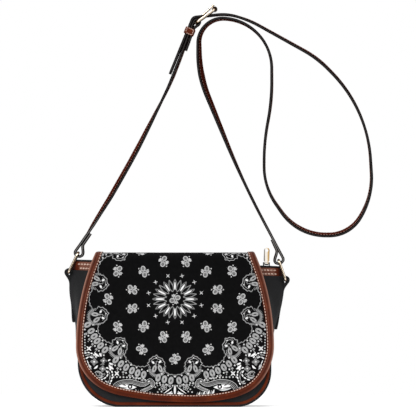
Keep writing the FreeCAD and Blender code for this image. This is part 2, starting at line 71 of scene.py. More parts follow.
def makePiece(name, points, faces, material, marks=None, closed=True):
    # Points are millimetres in the part's frame; each mark has one value for each point.
    mesh = bpy.data.meshes.new(name)
    points = np.asarray(points, float).reshape(-1, 3) * mm
    mesh.from_pydata(points.tolist(), [], np.asarray(faces).tolist())
    for label, values in (marks or {}).items():
        attribute = mesh.attributes.new(label, "FLOAT", "POINT")
        attribute.data.foreach_set("value", np.asarray(values, np.float32).ravel())
    if closed:
        work = bmesh.new()
        work.from_mesh(mesh)
        bmesh.ops.remove_doubles(work, verts=work.verts, dist=weldReach)
        bmesh.ops.recalc_face_normals(work, faces=work.faces)
        work.to_mesh(mesh)
        work.free()
    mesh.polygons.foreach_set("use_smooth", np.ones(len(mesh.polygons), bool))
    mesh.materials.append(material)
    piece = bpy.data.objects.new(name, mesh)
    bpy.context.scene.collection.objects.link(piece)
    return piece


def shell(name, outer, inner, material, wrapRows=False, **more):
    # Closed wall between two grids of the same size: both faces and the rims between them.
    rows, cols = outer.shape[:2]
    points = np.stack([outer, inner], 0).reshape(-1, 3)
    face = gridFaces(rows, cols, wrapRows)
    back = face[:, ::-1] + rows * cols
    index = np.arange(rows * cols).reshape(rows, cols)
    loops = [index[:, -1], index[::-1, 0]]
    if not wrapRows:
        loops = [np.concatenate([index[0], index[1:, -1], index[-1, -2::-1], index[-2:0:-1, 0]])]
    rims = []
    for loop in loops:
        after = np.roll(loop, -1)
        rims.append(np.stack([loop, after, after + rows * cols, loop + rows * cols], -1))
    return makePiece(name, points, np.concatenate([face, back] + rims), material, **more)


def endsTwice(rows):
    # One more row at each end, for the caps of a carried profile.
    return np.concatenate([rows[:1], rows, rows[-1:]])


def carried(name, points, material, **more):
    # Closed skin over the rows of a profile; each end is drawn in to the middle of its ring.
    points = endsTwice(points)
    points[[0, -1]] = points[[0, -1]].mean(1, keepdims=True)
    return makePiece(name, points, gridFaces(*points.shape[:2], wrapCols=True), material, **more)


def alike(*parts):
    # Numbers and arrays brought to one shape.
    return np.broadcast_arrays(*(np.asarray(part, float) for part in parts))


def reachAlong(path):
    # Length of the path up to each of its points.
    return np.concatenate([[0], np.cumsum(np.linalg.norm(np.diff(path, axis=0), axis=1))])


def evenly(path, step):
    # The same path with points a step apart.
    reach = reachAlong(path)
    at = np.linspace(0, reach[-1], max(int(reach[-1] / step), 2) + 1)
    return np.stack([np.interp(at, reach, path[:, k]) for k in range(path.shape[1])], -1), at


def headings(path):
    # Unit directions along a path.
    way = np.gradient(path, axis=0)
    return way / np.linalg.norm(way, axis=1, keepdims=True)


def leftOf(way):
    # Directions turned a quarter to the left.
    return np.stack([-way[..., 1], way[..., 0]], -1)


def turned(points, angle):
    # Points turned about the origin.
    c, s = math.cos(angle), math.sin(angle)
    points = np.asarray(points, float)
    return np.stack([c * points[..., 0] - s * points[..., 1], s * points[..., 0] + c * points[..., 1]], -1)


def smoothStep(value, low, high):
    # Eases from 0 at low to 1 at high.
    t = np.clip((value - low) / (high - low), 0, 1)
    return t * t * (3 - 2 * t)


def smoothed(values, reach, times=1):
    # Running mean over the neighbours within reach.
    width = 2 * reach + 1
    for _ in range(times):
        values = np.convolve(np.pad(values, reach, mode="edge"), np.ones(width) / width, "valid")
    return values


def roundOff(share, power, least):
    # A rounded end: from the least value at share 0 to full at 1.
    return np.sqrt(np.clip(1 - (1 - np.clip(share, 0, 1)) ** power, least, 1))


def squared(wave, power):
    # A sine or cosine with its round made squarer.
    return np.sign(wave) * np.abs(wave) ** power


def sideArc(z, half, start, radius):
    # Half width that closes in along an arc above the start height.
    return half - radius + np.sqrt(radius ** 2 - (np.clip(z, start, None) - start) ** 2)


def raysTo(rim, middle, count):
    # Straight rays from a middle point to each point of the rim.
    return middle + (rim[:, None] - middle) * np.linspace(0, 1, count)[None, :, None]


def sectionCorner(w, h, r):
    # Quarter round at the corner of a flat section, from its side to its top.
    a = np.linspace(0, math.pi / 2, 4)
    return np.stack([w - r + r * np.cos(a), h - r + r * np.sin(a)], -1)


# Materials

def nodeGroup(name, inputs, outputs):
    # An empty group with its sockets.
    group = bpy.data.node_groups.new(name, "ShaderNodeTree")
    for label, value in inputs.items():
        socket = group.interface.new_socket(label, in_out="INPUT", socket_type="NodeSocketFloat")
        socket.default_value = value
    for label in outputs:
        group.interface.new_socket(label, in_out="OUTPUT", socket_type="NodeSocketFloat")
    return group, group.nodes.new("NodeGroupInput"), group.nodes.new("NodeGroupOutput")


def addNode(tree, kind, links=None, **values):
    # A node with its settings; links maps an input's name or number to a socket or a value.
    node = tree.nodes.new("ShaderNode" + kind)
    for label, value in values.items():
        setattr(node, label, value)
    for label, source in (links or {}).items():
        if isinstance(source, bpy.types.NodeSocket):
            tree.links.new(source, node.inputs[label])
        else:
            node.inputs[label].default_value = source
    return node


def ramp(tree, source, stops):
    # Colour by value, from a list of places and colours.
    node = addNode(tree, "ValToRGB", {0: source})
    band = node.color_ramp
    while len(band.elements) < len(stops):
        band.elements.new(0.5)
    for element, (place, colour) in zip(band.elements, stops):
        element.position = place
        element.color = (*colour, 1)
    return node.outputs[0]


def mathResult(tree, how, *values, **more):
    # The result of a Math node.
    return addNode(tree, "Math", dict(enumerate(values)), operation=how, **more).outputs[0]


def noise(tree, place, scale, detail, **more):
    return addNode(tree, "TexNoise", {"Vector": place, "Scale": scale, "Detail": detail, **more}).outputs[0]


def leatherGrain():
    # Pebbles: cell borders under fine noise for the height, and over a slow drift for the shade.
    grain = {"fine": 1800.0, "drift": 70.0, "steep": 2.2, "fineShare": 0.35, "pebbleShare": 0.3}
    group, source, out = nodeGroup("leatherGrain", {"Size": 900.0}, ["Height", "Shade"])
    place = addNode(group, "TexCoord").outputs["Object"]
    links = {"Vector": place, "Scale": source.outputs["Size"]}
    cells = addNode(group, "TexVoronoi", links, feature="DISTANCE_TO_EDGE").outputs["Distance"]
    fine = noise(group, place, grain["fine"], 3.0)
    drift = noise(group, place, grain["drift"], 4.0, Roughness=0.6)
    pebble = mathResult(group, "MULTIPLY", cells, grain["steep"], use_clamp=True)
    height = mathResult(group, "MULTIPLY_ADD", fine, grain["fineShare"], pebble)
    shade = mathResult(group, "MULTIPLY_ADD", pebble, grain["pebbleShare"], drift)
    group.links.new(height, out.inputs["Height"])
    group.links.new(shade, out.inputs["Shade"])
    return group


def clothWeave():
    # Plain weave: two sets of threads that cross, broken up by noise.
    weave = {"drift": 240.0, "shares": {"Height": 0.5, "Shade": 0.12}}
    group, source, out = nodeGroup("clothWeave", {"Pitch": 2200.0}, ["Height", "Shade"])
    place = addNode(group, "TexCoord").outputs["Object"]
    split = addNode(group, "SeparateXYZ", {0: place})
    threads = []
    for axis in ("X", "Z"):
        angle = mathResult(group, "MULTIPLY", split.outputs[axis], source.outputs["Pitch"])
        threads.append(mathResult(group, "SINE", angle))
    cross = mathResult(group, "MULTIPLY", *threads)
    drift = noise(group, place, weave["drift"], 5.0)
    for label, share in weave["shares"].items():
        group.links.new(mathResult(group, "MULTIPLY_ADD", cross, share, drift), out.inputs[label])
    return group


def metalScuff():
    # Fine handling marks: stretched noise over a slow drift.
    scuff = {"stretch": (1.0, 0.15, 1.0), "drift": 60.0, "share": 0.5}
    group, source, out = nodeGroup("metalScuff", {"Size": 300.0}, ["Height", "Shade"])
    place = addNode(group, "TexCoord").outputs["Object"]
    long = addNode(group, "Mapping", {"Vector": place, "Scale": scuff["stretch"]}).outputs[0]
    fine = noise(group, long, source.outputs["Size"], 5.0)
    slow = noise(group, place, scuff["drift"], 2.0)
    group.links.new(fine, out.inputs["Height"])
    group.links.new(mathResult(group, "MULTIPLY_ADD", fine, scuff["share"], slow), out.inputs["Shade"])
    return group


groups = {"leather": leatherGrain(), "cloth": clothWeave(), "metal": metalScuff()}
shadeRange = (0.2, 0.9)     # shades between which the roughness changes


def finish(name, kind, size, stops, rough, bump, metallic=0.0, specular=0.5, sheen=0.0):
    # One surface: colour and roughness follow the group's shade, the bump its height.
    material = bpy.data.materials.new(name)
    material.use_nodes = True
    tree = material.node_tree
    main = tree.nodes["Principled BSDF"]
    detail = addNode(tree, "Group", node_tree=groups[kind])
    detail.inputs[0].default_value = size
    shade = detail.outputs["Shade"]
    tree.links.new(ramp(tree, shade, stops), main.inputs["Base Color"])
    spread = dict(zip(("From Min", "From Max", "To Min", "To Max"), (*shadeRange, *rough)))
    tree.links.new(addNode(tree, "MapRange", {"Value": shade, **spread}).outputs[0], main.inputs["Roughness"])
    raised = {"Height": detail.outputs["Height"], "Strength": bump[0], "Distance": bump[1]}
    tree.links.new(addNode(tree, "Bump", raised).outputs[0], main.inputs["Normal"])
    main.inputs["Metallic"].default_value = metallic
    main.inputs["Specular IOR Level"].default_value = specular
    main.inputs["Sheen Weight"].default_value = sheen
    return material


# Kind and size of the grain, colours by shade, roughness, strength and depth of the bump, then other values
looks = {
    "printCloth": ("cloth", 5200.0, [(0.3, (0.0018, 0.0018, 0.0019)), (0.8, (0.0044, 0.0044, 0.0046))],
                   (0.78, 0.95), (0.25, 0.0002), {"specular": 0.04}),
    "blackLeather": ("leather", 1100.0, [(0.3, (0.0040, 0.0040, 0.0044)), (1.0, (0.0105, 0.0108, 0.0118))],
                     (0.42, 0.62), (0.35, 0.0003), {"specular": 0.13}),
    "brownLeather": ("leather", 1000.0, [(0.3, (0.044, 0.0058, 0.0012)), (0.7, (0.092, 0.0140, 0.0026)),
                                         (1.0, (0.17, 0.034, 0.0080))],
                     (0.42, 0.60), (0.5, 0.0003), {"specular": 0.07}),
    "strapLeather": ("leather", 1000.0, [(0.3, (0.034, 0.0060, 0.0034)), (0.7, (0.064, 0.0115, 0.0062)),
                                         (1.0, (0.11, 0.022, 0.0120))],
                     (0.55, 0.75), (0.4, 0.0003), {"specular": 0.0}),
    "creamThread": ("cloth", 9000.0, [(0.3, (0.50, 0.33, 0.26)), (0.8, (0.74, 0.54, 0.45))],
                    (0.6, 0.8), (0.4, 0.0002), {"specular": 0.2}),
    "paleGold": ("metal", 260.0, [(0.4, (0.84, 0.77, 0.65)), (0.9, (0.97, 0.93, 0.86))],
                 (0.10, 0.22), (0.05, 0.0001), {"metallic": 1.0}),
    "pullGold": ("metal", 260.0, [(0.4, (0.86, 0.80, 0.70)), (0.9, (0.98, 0.95, 0.90))],
                 (0.10, 0.22), (0.05, 0.0001), {"metallic": 1.0}),
    "blackMetal": ("metal", 260.0, [(0.4, (0.004, 0.004, 0.004)), (0.9, (0.012, 0.011, 0.011))],
                   (0.45, 0.60), (0.05, 0.0001), {"metallic": 0.2, "specular": 0.1}),
    "snapSteel": ("metal", 260.0, [(0.4, (0.45, 0.42, 0.37)), (0.9, (0.66, 0.63, 0.58))],
                  (0.22, 0.38), (0.06, 0.0001), {"metallic": 1.0}),
    "liningCloth": ("cloth", 4200.0, [(0.3, (0.03, 0.028, 0.026)), (0.8, (0.06, 0.055, 0.05))],
                    (0.8, 0.95), (0.3, 0.0002), {"specular": 0.2, "sheen": 0.1}),
    "zipCloth": ("cloth", 7000.0, [(0.3, (0.006, 0.006, 0.007)), (0.8, (0.014, 0.014, 0.015))],
                 (0.7, 0.9), (0.3, 0.0002), {"specular": 0.1}),
    "fibreBoard": ("cloth", 3000.0, [(0.3, (0.07, 0.06, 0.05)), (0.8, (0.12, 0.1, 0.085))],
                   (0.8, 0.95), (0.3, 0.0003), {"specular": 0.2}),
    "printInk": ("cloth", 5200.0, [(0.3, (0.66, 0.66, 0.66)), (0.8, (0.88, 0.88, 0.88))],
                 (0.7, 0.9), (0.2, 0.0002), {"specular": 0.1}),
}
finishes = {name: finish(name, *look[:-1], **look[-1]) for name, look in looks.items()}


def overlay(material, colour, share=1.0, mode="MULTIPLY"):
    # Puts one more colour over what the surface already has.
    tree = material.node_tree
    base = tree.nodes["Principled BSDF"].inputs["Base Color"]
    links = {0: share, 6: base.links[0].from_socket, 7: colour}
    tree.links.new(addNode(tree, "Mix", links, data_type="RGBA", blend_type=mode).outputs[2], base)


def markOf(material, attribute):
    # One of the mesh's own marks.
    return addNode(material.node_tree, "Attribute", attribute_name=attribute).outputs["Fac"]


def recolour(material, attribute, stops):
    # Multiplies the colour by a ramp over one of the mesh's own marks.
    overlay(material, ramp(material.node_tree, markOf(material, attribute), stops))


def tint(material, attribute, colour):
    # Carries the colour over to another one by one of the mesh's own marks.
    overlay(material, (*colour, 1), markOf(material, attribute), "MIX")


def paintedWireGlints(material, stops):
    # Painted reflection on polished wire: a ramp over facing multiplies the colour, black in its middle where
    # the camera side would mirror, then white for the bright room, then black again toward the rims.
    tree = material.node_tree
    facing = addNode(tree, "LayerWeight", {"Blend": 0.5}).outputs["Facing"]
    overlay(material, ramp(tree, facing, stops))


def paintedSideGlints(material, node, stops):
    # Painted reflection on a flat polished leaf: a ramp from its left edge to its right one multiplies the
    # colour, as if it mirrored the room.
    low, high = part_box(node)
    tree = material.node_tree
    place = addNode(tree, "SeparateXYZ", {0: addNode(tree, "TexCoord").outputs["Object"]})
    links = {"Value": place.outputs["X"], "From Min": low[0], "From Max": high[0]}
    overlay(material, ramp(tree, addNode(tree, "MapRange", links).outputs[0], stops))


# Painted reflection on the pale gold wire frames, zip teeth, roller and prong.
paintedWireGlints(finishes["paleGold"], [
    (0.0, (0.03, 0.02, 0.012)), (0.02, (0.05, 0.03, 0.02)), (0.06, (0.85, 0.74, 0.56)),
    (0.13, (1.0, 1.0, 1.0)), (0.22, (0.42, 0.25, 0.11)), (0.34, (0.03, 0.018, 0.012)),
])
# Painted reflection and highlight across the zip pull.
paintedSideGlints(finishes["pullGold"], "zip_pull", [
    (0.0, (0.05, 0.04, 0.03)), (0.14, (0.2, 0.18, 0.16)), (0.26, (1.0, 1.0, 1.0)),
    (0.58, (1.0, 0.98, 0.95)), (0.74, (0.72, 0.48, 0.20)), (1.0, (0.30, 0.20, 0.10)),
])
# Brown leather: the first mark darkens it as painted shade, the second carries it toward a pale pink as a
# painted highlight.
recolour(finishes["brownLeather"], "paintedShade", [(0.0, (1.0, 1.0, 1.0)), (1.0, (0.22, 0.14, 0.12))])
tint(finishes["brownLeather"], "paintedShine", (0.44, 0.23, 0.17))
recolour(finishes["printInk"], "tone", [(0.0, (0.0, 0.0, 0.0)), (1.0, (1.0, 1.0, 1.0))])
recolour(finishes["strapLeather"], "edge", [(0.86, (1.0, 1.0, 1.0)), (0.93, (0.09, 0.35, 0.7))])
# A painted highlight along the middle of each strap edge.
tint(finishes["strapLeather"], "paintedShine", (0.29, 0.28, 0.27))
print("finishes made:", len(finishes))


# Flap: one sheet that runs up the front, over the mouth and down the back

flap = {
    "halfDepth": 39.0,      # body at the floor
    "lean": 0.0662,         # panels lean in to the mouth
    "face": 6.8,            # outer face of the sheet from the panel's inner face
    "sheet": 2.6,           # cloth and lining together
    "bendCentre": (-25.522, 153.4), "bendRadius": 10.1,
    "half": 105.25, "widest": 64.12, "sideRadius": 254.49, "corner": 48.05, "lip": 5.4, "lowRadius": 206.73,
    "bulge": 1.3, "bulgeHalf": 108.0, "bulgePower": 0.7,        # how far the front swells
    "ripple": 0.22, "rippleAcross": 23.0, "rippleStart": 0.6, "rippleUp": 19.0, "rippleFade": 30.0,
    "sewnEnd": 109.54,
    "middle": (0.0, 100.0), "tuck": 2.0,        # the cloth fans out from here and ends under its binding
    "step": 1.5,
}
bendY, bendZ = flap["bendCentre"]
bendTurn = math.pi / 2 - flap["lean"]
frontEnd = (bendY + flap["halfDepth"]) * math.sin(flap["lean"]) + bendZ * math.cos(flap["lean"])
topStart = frontEnd + flap["bendRadius"] * bendTurn
topMiddle = topStart - bendY
backEnd = 2 * topMiddle - flap["sewnEnd"]


def flapSwell(x, w):
    # A hump across and up the front, with soft ripples that fade out at the roll.
    up = np.sin(np.clip(w / frontEnd, 0, 1) * math.pi) ** flap["bulgePower"]
    hump = flap["bulge"] * np.clip(1 - (x / flap["bulgeHalf"]) ** 2, 0, 1) * up
    ripple = np.sin(x / flap["rippleAcross"] + flap["rippleStart"]) * np.sin(w / flap["rippleUp"])
    return hump + flap["ripple"] * ripple * smoothStep(frontEnd - w, 0, flap["rippleFade"])


def flapPoint(x, v, h):
    # v runs up the front, round the roll, over the top and mirrors at its middle.
    # h stands off the outer face.
    # Front: a straight leaned line. Roll: an arc about the bend centre. Top: level.
    x, v, h = alike(x, v, h)
    rear = v > topMiddle
    w = np.where(rear, 2 * topMiddle - v, v)
    s, c = math.sin(flap["lean"]), math.cos(flap["lean"])
    off = h + flap["face"] + np.where(rear, 0, flapSwell(x, w))
    frontY = -flap["halfDepth"] + w * s - off * c
    frontZ = off * s + w * c
    turn = flap["lean"] + np.clip((w - frontEnd) / flap["bendRadius"], 0, bendTurn)
    radius = flap["bendRadius"] + h
    rollY = bendY - radius * np.cos(turn)
    rollZ = bendZ + radius * np.sin(turn)
    flatY = rollY + np.clip(w - topStart, 0, None)
    y = np.where(w < frontEnd, frontY, flatY)
    z = np.where(w < frontEnd, frontZ, rollZ)
    return np.stack([x, np.where(rear, -y, y), z], -1)


def flapHalf(v):
    # Half width: an arc that closes in above the widest line, by height.
    z = np.where(np.asarray(v) < frontEnd, v, flapPoint(0, v, 0)[..., 2])
    return sideArc(z, flap["half"], flap["widest"], flap["sideRadius"])


hem = {
    "spots": [-106, -97, -90, -82, -65, -42, 0, 20, 42, 67, 83, 92, 97, 106],
    "depths": [0.0, 0.8, 0.8, 1.6, 2.4, 0.4, 0.0, 1.7, 3.7, 6.0, 4.8, 4.0, 2.3, 0.0],
    "soft": 6, "fade": (40, 62),        # reach of the smoothing, heights between which it fades
}


def hang(x, v):
    # How far the foot of the flap hangs below its even outline: more on the right, fading out up the sides.
    spots = np.arange(-115.0, 116.0)
    depth = smoothed(np.interp(spots, hem["spots"], hem["depths"]), hem["soft"], 2)
    return np.interp(x, spots, depth) * (1 - smoothStep(np.asarray(v, float), *hem["fade"]))


def flapEdge():
    # Right half from the bottom: a shallow arc, a corner arc, then the side; mirrored and let down.
    lowCentre = np.array([0, flap["lip"] + flap["lowRadius"]])
    corner = np.array([flap["half"] - flap["corner"], flap["widest"]])
    meet = math.atan2(corner[1] - lowCentre[1], corner[0] - lowCentre[0])
    a = np.linspace(-math.pi / 2, meet, 60)[:, None]
    b = np.linspace(meet, 0, 60)[1:, None]
    low = lowCentre + flap["lowRadius"] * np.concatenate([np.cos(a), np.sin(a)], 1)
    bend = corner + flap["corner"] * np.concatenate([np.cos(b), np.sin(b)], 1)
    up = np.linspace(flap["widest"], topMiddle, 90)[1:]
    right = np.concatenate([low, bend, np.stack([flapHalf(up), up], -1)])
    whole = np.concatenate([right[:0:-1] * [-1, 1], right])
    whole[:, 1] -= hang(whole[:, 0], whole[:, 1])
    path = evenly(whole, flap["step"])[0]
    return path, leftOf(headings(path))


def besideFlap(path, inward, inset):
    # The path moved in by the inset.
    return path + inward * inset


edgePath, edgeIn = flapEdge()

# Cloth of the front: rays from a middle point to the edge
rim = besideFlap(edgePath, edgeIn, flap["tuck"])
topX = np.linspace(rim[-1, 0], rim[0, 0], 60)[1:-1]
rim = np.concatenate([rim, np.stack([topX, np.full(len(topX), topMiddle)], -1)])
fan = raysTo(rim, flap["middle"], 64)
sheets = [flapPoint(fan[..., 0], fan[..., 1], h) for h in (0, -flap["sheet"])]
flapFront = shell("flapFront", *sheets, finishes["printCloth"], wrapRows=True)
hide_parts("flap_panel", "flap_lining")

# Cloth of the back: straight across at each height
down = np.linspace(topMiddle, backEnd, 60)[:, None]
across = np.linspace(-1, 1, 50)[None, :] * (flapHalf(down) - flap["tuck"])
sheets = [flapPoint(across, down, h) for h in (0, -flap["sheet"])]
flapBack = shell("flapBack", *sheets, finishes["printCloth"])
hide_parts("flap_top", "flap_rear")

# Binding: a soft rounded strip folded over the edge, carried along it
bind = {
    "profile": np.array([       # inset and height
        (8.0, 0.05), (7.75, 0.45), (7.2, 0.72), (6.2, 0.82), (4.6, 1.0), (3.0, 1.12), (1.6, 1.02),
        (0.6, 0.55), (0.05, -0.3), (0.0, -1.4), (0.2, -2.4), (0.8, -3.1), (2.0, -3.4), (5.0, -3.42),
        (7.4, -3.3), (8.0, -2.9), (8.0, -1.5),
    ]),
    # painted shade across the profile: in its creases, along its inner edge and underneath
    "paintedShade": np.array([1.0, 0.9, 0.35, 0.3, 0.0, 0.45, 0.3, 0.0, 0.0, 0.3, 0.6, 0.6, 0.6, 0.6, 0.6, 0.6, 1.0]),
    # painted highlight on the rolled outer edge
    "paintedShine": np.array([0.0] * 4 + [0.1, 0.0, 0.15, 0.8, 0.55, 0.1] + [0.0] * 7),
    "row": 6.75, "rowLift": 0.86,       # inset and height of its stitches
}


def bindAlong(name, path, inward):
    # The profile at each point of the path, with painted shade across it and a painted highlight that is
    # strongest where the edge stands upright.
    inset, height = bind["profile"][None, :, :1], bind["profile"][None, :, 1]
    place = path[:, None] + inward[:, None] * inset
    points = flapPoint(place[..., 0], place[..., 1], height)
    upright = endsTwice(np.abs(inward[:, :1])) ** 3
    marks = {"paintedShade": bind["paintedShade"] + 0 * upright, "paintedShine": bind["paintedShine"] * upright}
    return carried(name, points, finishes["brownLeather"], marks=marks)


flapBinding = bindAlong("flapBinding", edgePath, edgeIn)
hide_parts("flap_binding")
backDown = np.linspace(topMiddle, backEnd, 70)
backEdges = {}
for label, side in (("Left", -1), ("Right", 1)):
    path = np.stack([side * flapHalf(backDown), backDown], -1)
    backEdges[label] = (path, np.tile([-side, 0.0], (len(path), 1)))
backBindings = [bindAlong("flapBackBinding" + label, *edge) for label, edge in backEdges.items()]
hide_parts("flap_top_binding", "flap_rear_binding")
print("flap cloth and binding made")


# Stitches: short rounded dashes, each a small closed grid laid along its row

dash = {"length": 2.45, "width": 0.95, "high": 0.42, "pitch": 3.1}
dashGrid = {"points": 6, "sink": 0.1}       # points each way, and how deep both ends sink


def stitchRow(name, centres, ways, surface, lift, size=dash):
    # Dash: an ellipse across that swells to the middle along its length, sunk at both ends.
    count = dashGrid["points"]
    along = np.linspace(-1, 1, count)[:, None]
    around = np.linspace(0, 2 * math.pi, count, endpoint=False)[None, :]
    fat = np.sqrt(np.clip(1 - along ** 4, 0.0, 1))
    a = (along * size["length"] / 2 + 0 * around).ravel()
    b = (np.cos(around) * fat * size["width"] / 2).ravel()
    c = (np.sin(around) * fat * size["high"] / 2 - dashGrid["sink"] * along ** 2).ravel()
    place = centres[:, None] + ways[:, None] * a[None, :, None] + leftOf(ways)[:, None] * b[None, :, None]
    points = surface(place[..., 0], place[..., 1], lift + c[None, :])
    quads = gridFaces(count, count, wrapCols=True)
    faces = (quads[None] + np.arange(len(centres))[:, None, None] * count ** 2).reshape(-1, 4)
    return makePiece(name, points, faces, finishes["creamThread"])


def dashPlaces(path, pitch=dash["pitch"]):
    # Places and directions a pitch apart, without both ends.
    even = evenly(path, pitch)[0]
    return even[1:-1], headings(even)[1:-1]


def bindStitch(name, path, inward):
    # The stitch row along a binding.
    places = dashPlaces(besideFlap(path, inward, bind["row"]))
    return stitchRow(name, *places, flapPoint, bind["rowLift"])


sewn = {"half": 70.0, "insets": (4.0, 26.0), "lift": 0.12}      # two rows that hold the flap to the back
flapStitch = bindStitch("flapStitch", edgePath, edgeIn)
backStitch = [bindStitch("flapBackStitch" + label, *edge) for label, edge in backEdges.items()]
for index, inset in enumerate(sewn["insets"]):
    row = np.stack([np.linspace(-sewn["half"], sewn["half"], 60), np.full(60, backEnd - inset)], -1)
    backStitch.append(stitchRow("flapSewnRow" + str(index), *dashPlaces(row), flapPoint, sewn["lift"]))
print("flap stitched")


# Print: a traditional bandana layout drawn with strokes of changing width, in flap coordinates

printSet = {
    "middle": 114.2, "stretch": 1.14,       # height of the flower, and how much wider than high it is
    "lift": 0.05, "layer": 0.00005,         # ink above the cloth, and each stroke above the one before
    "edge": 3.0, "depth": 1.6,              # clear of the outline; power that darkens the greys
}
strokes = []
single = {"sides": (1,), "levels": (1,)}


def stroke(points, widths, tone, sides=(1, -1), levels=(1, -1)):
    # A strip along the points; the layout is mirrored left to right and up to down.
    points = np.asarray(points, float)
    widths = np.broadcast_to(np.asarray(widths, float), len(points))
    for sx, sv in [(side, level) for side in sides for level in levels]:
        place = points * [sx, sv] + [0, 0 if sv > 0 else 2 * printSet["middle"]]
        strokes.append((place, widths, tone))


def leaf(start, end, width, tone, bow=0.0, **more):
    # Spindle: widest in the middle, pointed at both ends, bowed to one side.
    t = np.linspace(0, 1, 9)
    start, end = np.asarray(start, float), np.asarray(end, float)
    way = end - start
    side = leftOf(way) * bow
    points = start + way * t[:, None] + side * (4 * t * (1 - t))[:, None]
    stroke(points, width * np.clip(np.sin(math.pi * t), 0.02, 1) ** 0.8, tone, **more)


def dot(place, radius, tone, **more):
    # Disc: a short strip whose width follows the circle.
    t = np.cos(np.linspace(math.pi, 0, 8))
    place = np.asarray(place, float)
    widths = 2 * radius * np.sqrt(np.clip(1 - t * t, 0.001, 1))
    stroke(place + np.stack([t * radius, 0 * t], -1), widths, tone, **more)


def loop(place, rx, ry, turn, width, tone, start=0.0, end=1.0, **more):
    # A line round an oval or a part of it.
    a = np.linspace(start, end, 25) * 2 * math.pi
    oval = np.stack([rx * np.cos(a), ry * np.sin(a)], -1)
    stroke(np.asarray(place, float) + turned(oval, turn), width, tone, **more)


def star(place, reach, turn, tone, plump=0.5, **more):
    # Four points: two crossed spindles and a core.
    place = np.asarray(place, float)
    for k in (0, 1):
        arm = turned([reach, 0], turn + k * math.pi / 2)
        leaf(place - arm, place + arm, reach * plump, tone, **more)
    dot(place, reach * 0.54 * plump, tone, **more)


def swirl(place, turn, tone=0.66, **more):
    # Two curled drops that face each other, each with a tail that ends in three leaves, and a dot beyond.
    place = np.asarray(place, float)
    for half in (0, math.pi):
        def at(points):
            return place + turned(points, turn + half)
        loop(at((-3.1, -0.7)), 2.45, 2.05, turn + half, 1.25, tone * 1.05, **more)
        loop(at((-2.9, -0.6)), 1.0, 0.75, turn + half, 0.7, tone * 0.75, **more)
        stroke(at([(-1.0, 1.4), (-0.9, 2.4), (-0.8, 3.4), (-0.5, 4.2)]), [1.0, 1.3, 1.5, 0.9], tone, **more)
        for tip in ((-2.1, 5.3), (-0.1, 5.7), (1.7, 4.9)):
            leaf(at((-0.7, 2.3)), at(tip), 1.8, tone * 1.2, **more)
        dot(at((3.4, 5.2)), 0.66, tone * 1.25, **more)


flower = {
    "petals": 12, "seeds": 19.4, "stars": 25.5,
    "heart": (10.0, 18.2, 2.0),                     # start, end and width of a filled petal
    "petal": (9.6, 21.2, 2.0, 0.62, 0.42),          # start, end, half width, line and tone of its outline
    "between": (8.0, 20.9, 1.75, 0.68, 0.55),       # the same for the petals between
}


def drawFlower():
    # Filled petals alternate with outlined ones round the middle, with stars outside.
    t = np.linspace(0, 1, 12)
    belly = np.sin(math.pi * t ** 0.8)
    plump = np.clip(np.sin(math.pi * t), 0.05, 1) ** 0.5

    def polar(radius, angle, side=0.0):
        spot = turned(np.stack(alike(radius, side), -1), angle)
        return spot * [printSet["stretch"], 1] + [0, printSet["middle"]]

    def outline(start, end, half, line, tone, angle):
        for side in (-1, 1):
            stroke(polar(start + (end - start) * t, angle, side * half * belly), line, tone, **single)
    start, end, width = flower["heart"]
    for k in range(flower["petals"]):
        a = 2 * math.pi * k / flower["petals"]
        b = a + math.pi / flower["petals"]
        stroke(polar(start + (end - start) * t, a), width * plump, 1.0, **single)
        outline(*flower["petal"], a)
        dot(polar(flower["seeds"], a), 0.55, 0.4, **single)
        outline(*flower["between"], b)
        star(polar(flower["stars"], b), 2.5, math.pi / 4 if k % 3 == 0 else 0.2, 0.95, 0.32, **single)


drawFlower()
swirl((0, printSet["middle"]), 0.25, **single)

sprigs = [
    ((12.1, 73.9), 1.1, {}), ((33.1, 85.0), 1.61, {}), ((60.8, 84.4), 0.74, {}),
    ((45.2, 104.2), -0.985, {}), ((35.2, 60.7), 3.2, {}),
    ((71.0, printSet["middle"]), 1.0, {"levels": (1,)}), ((0.0, 50.5), 0.06, {"sides": (1,)}),
]
for place, turn, copies in sprigs:
    swirl(place, turn, **copies)


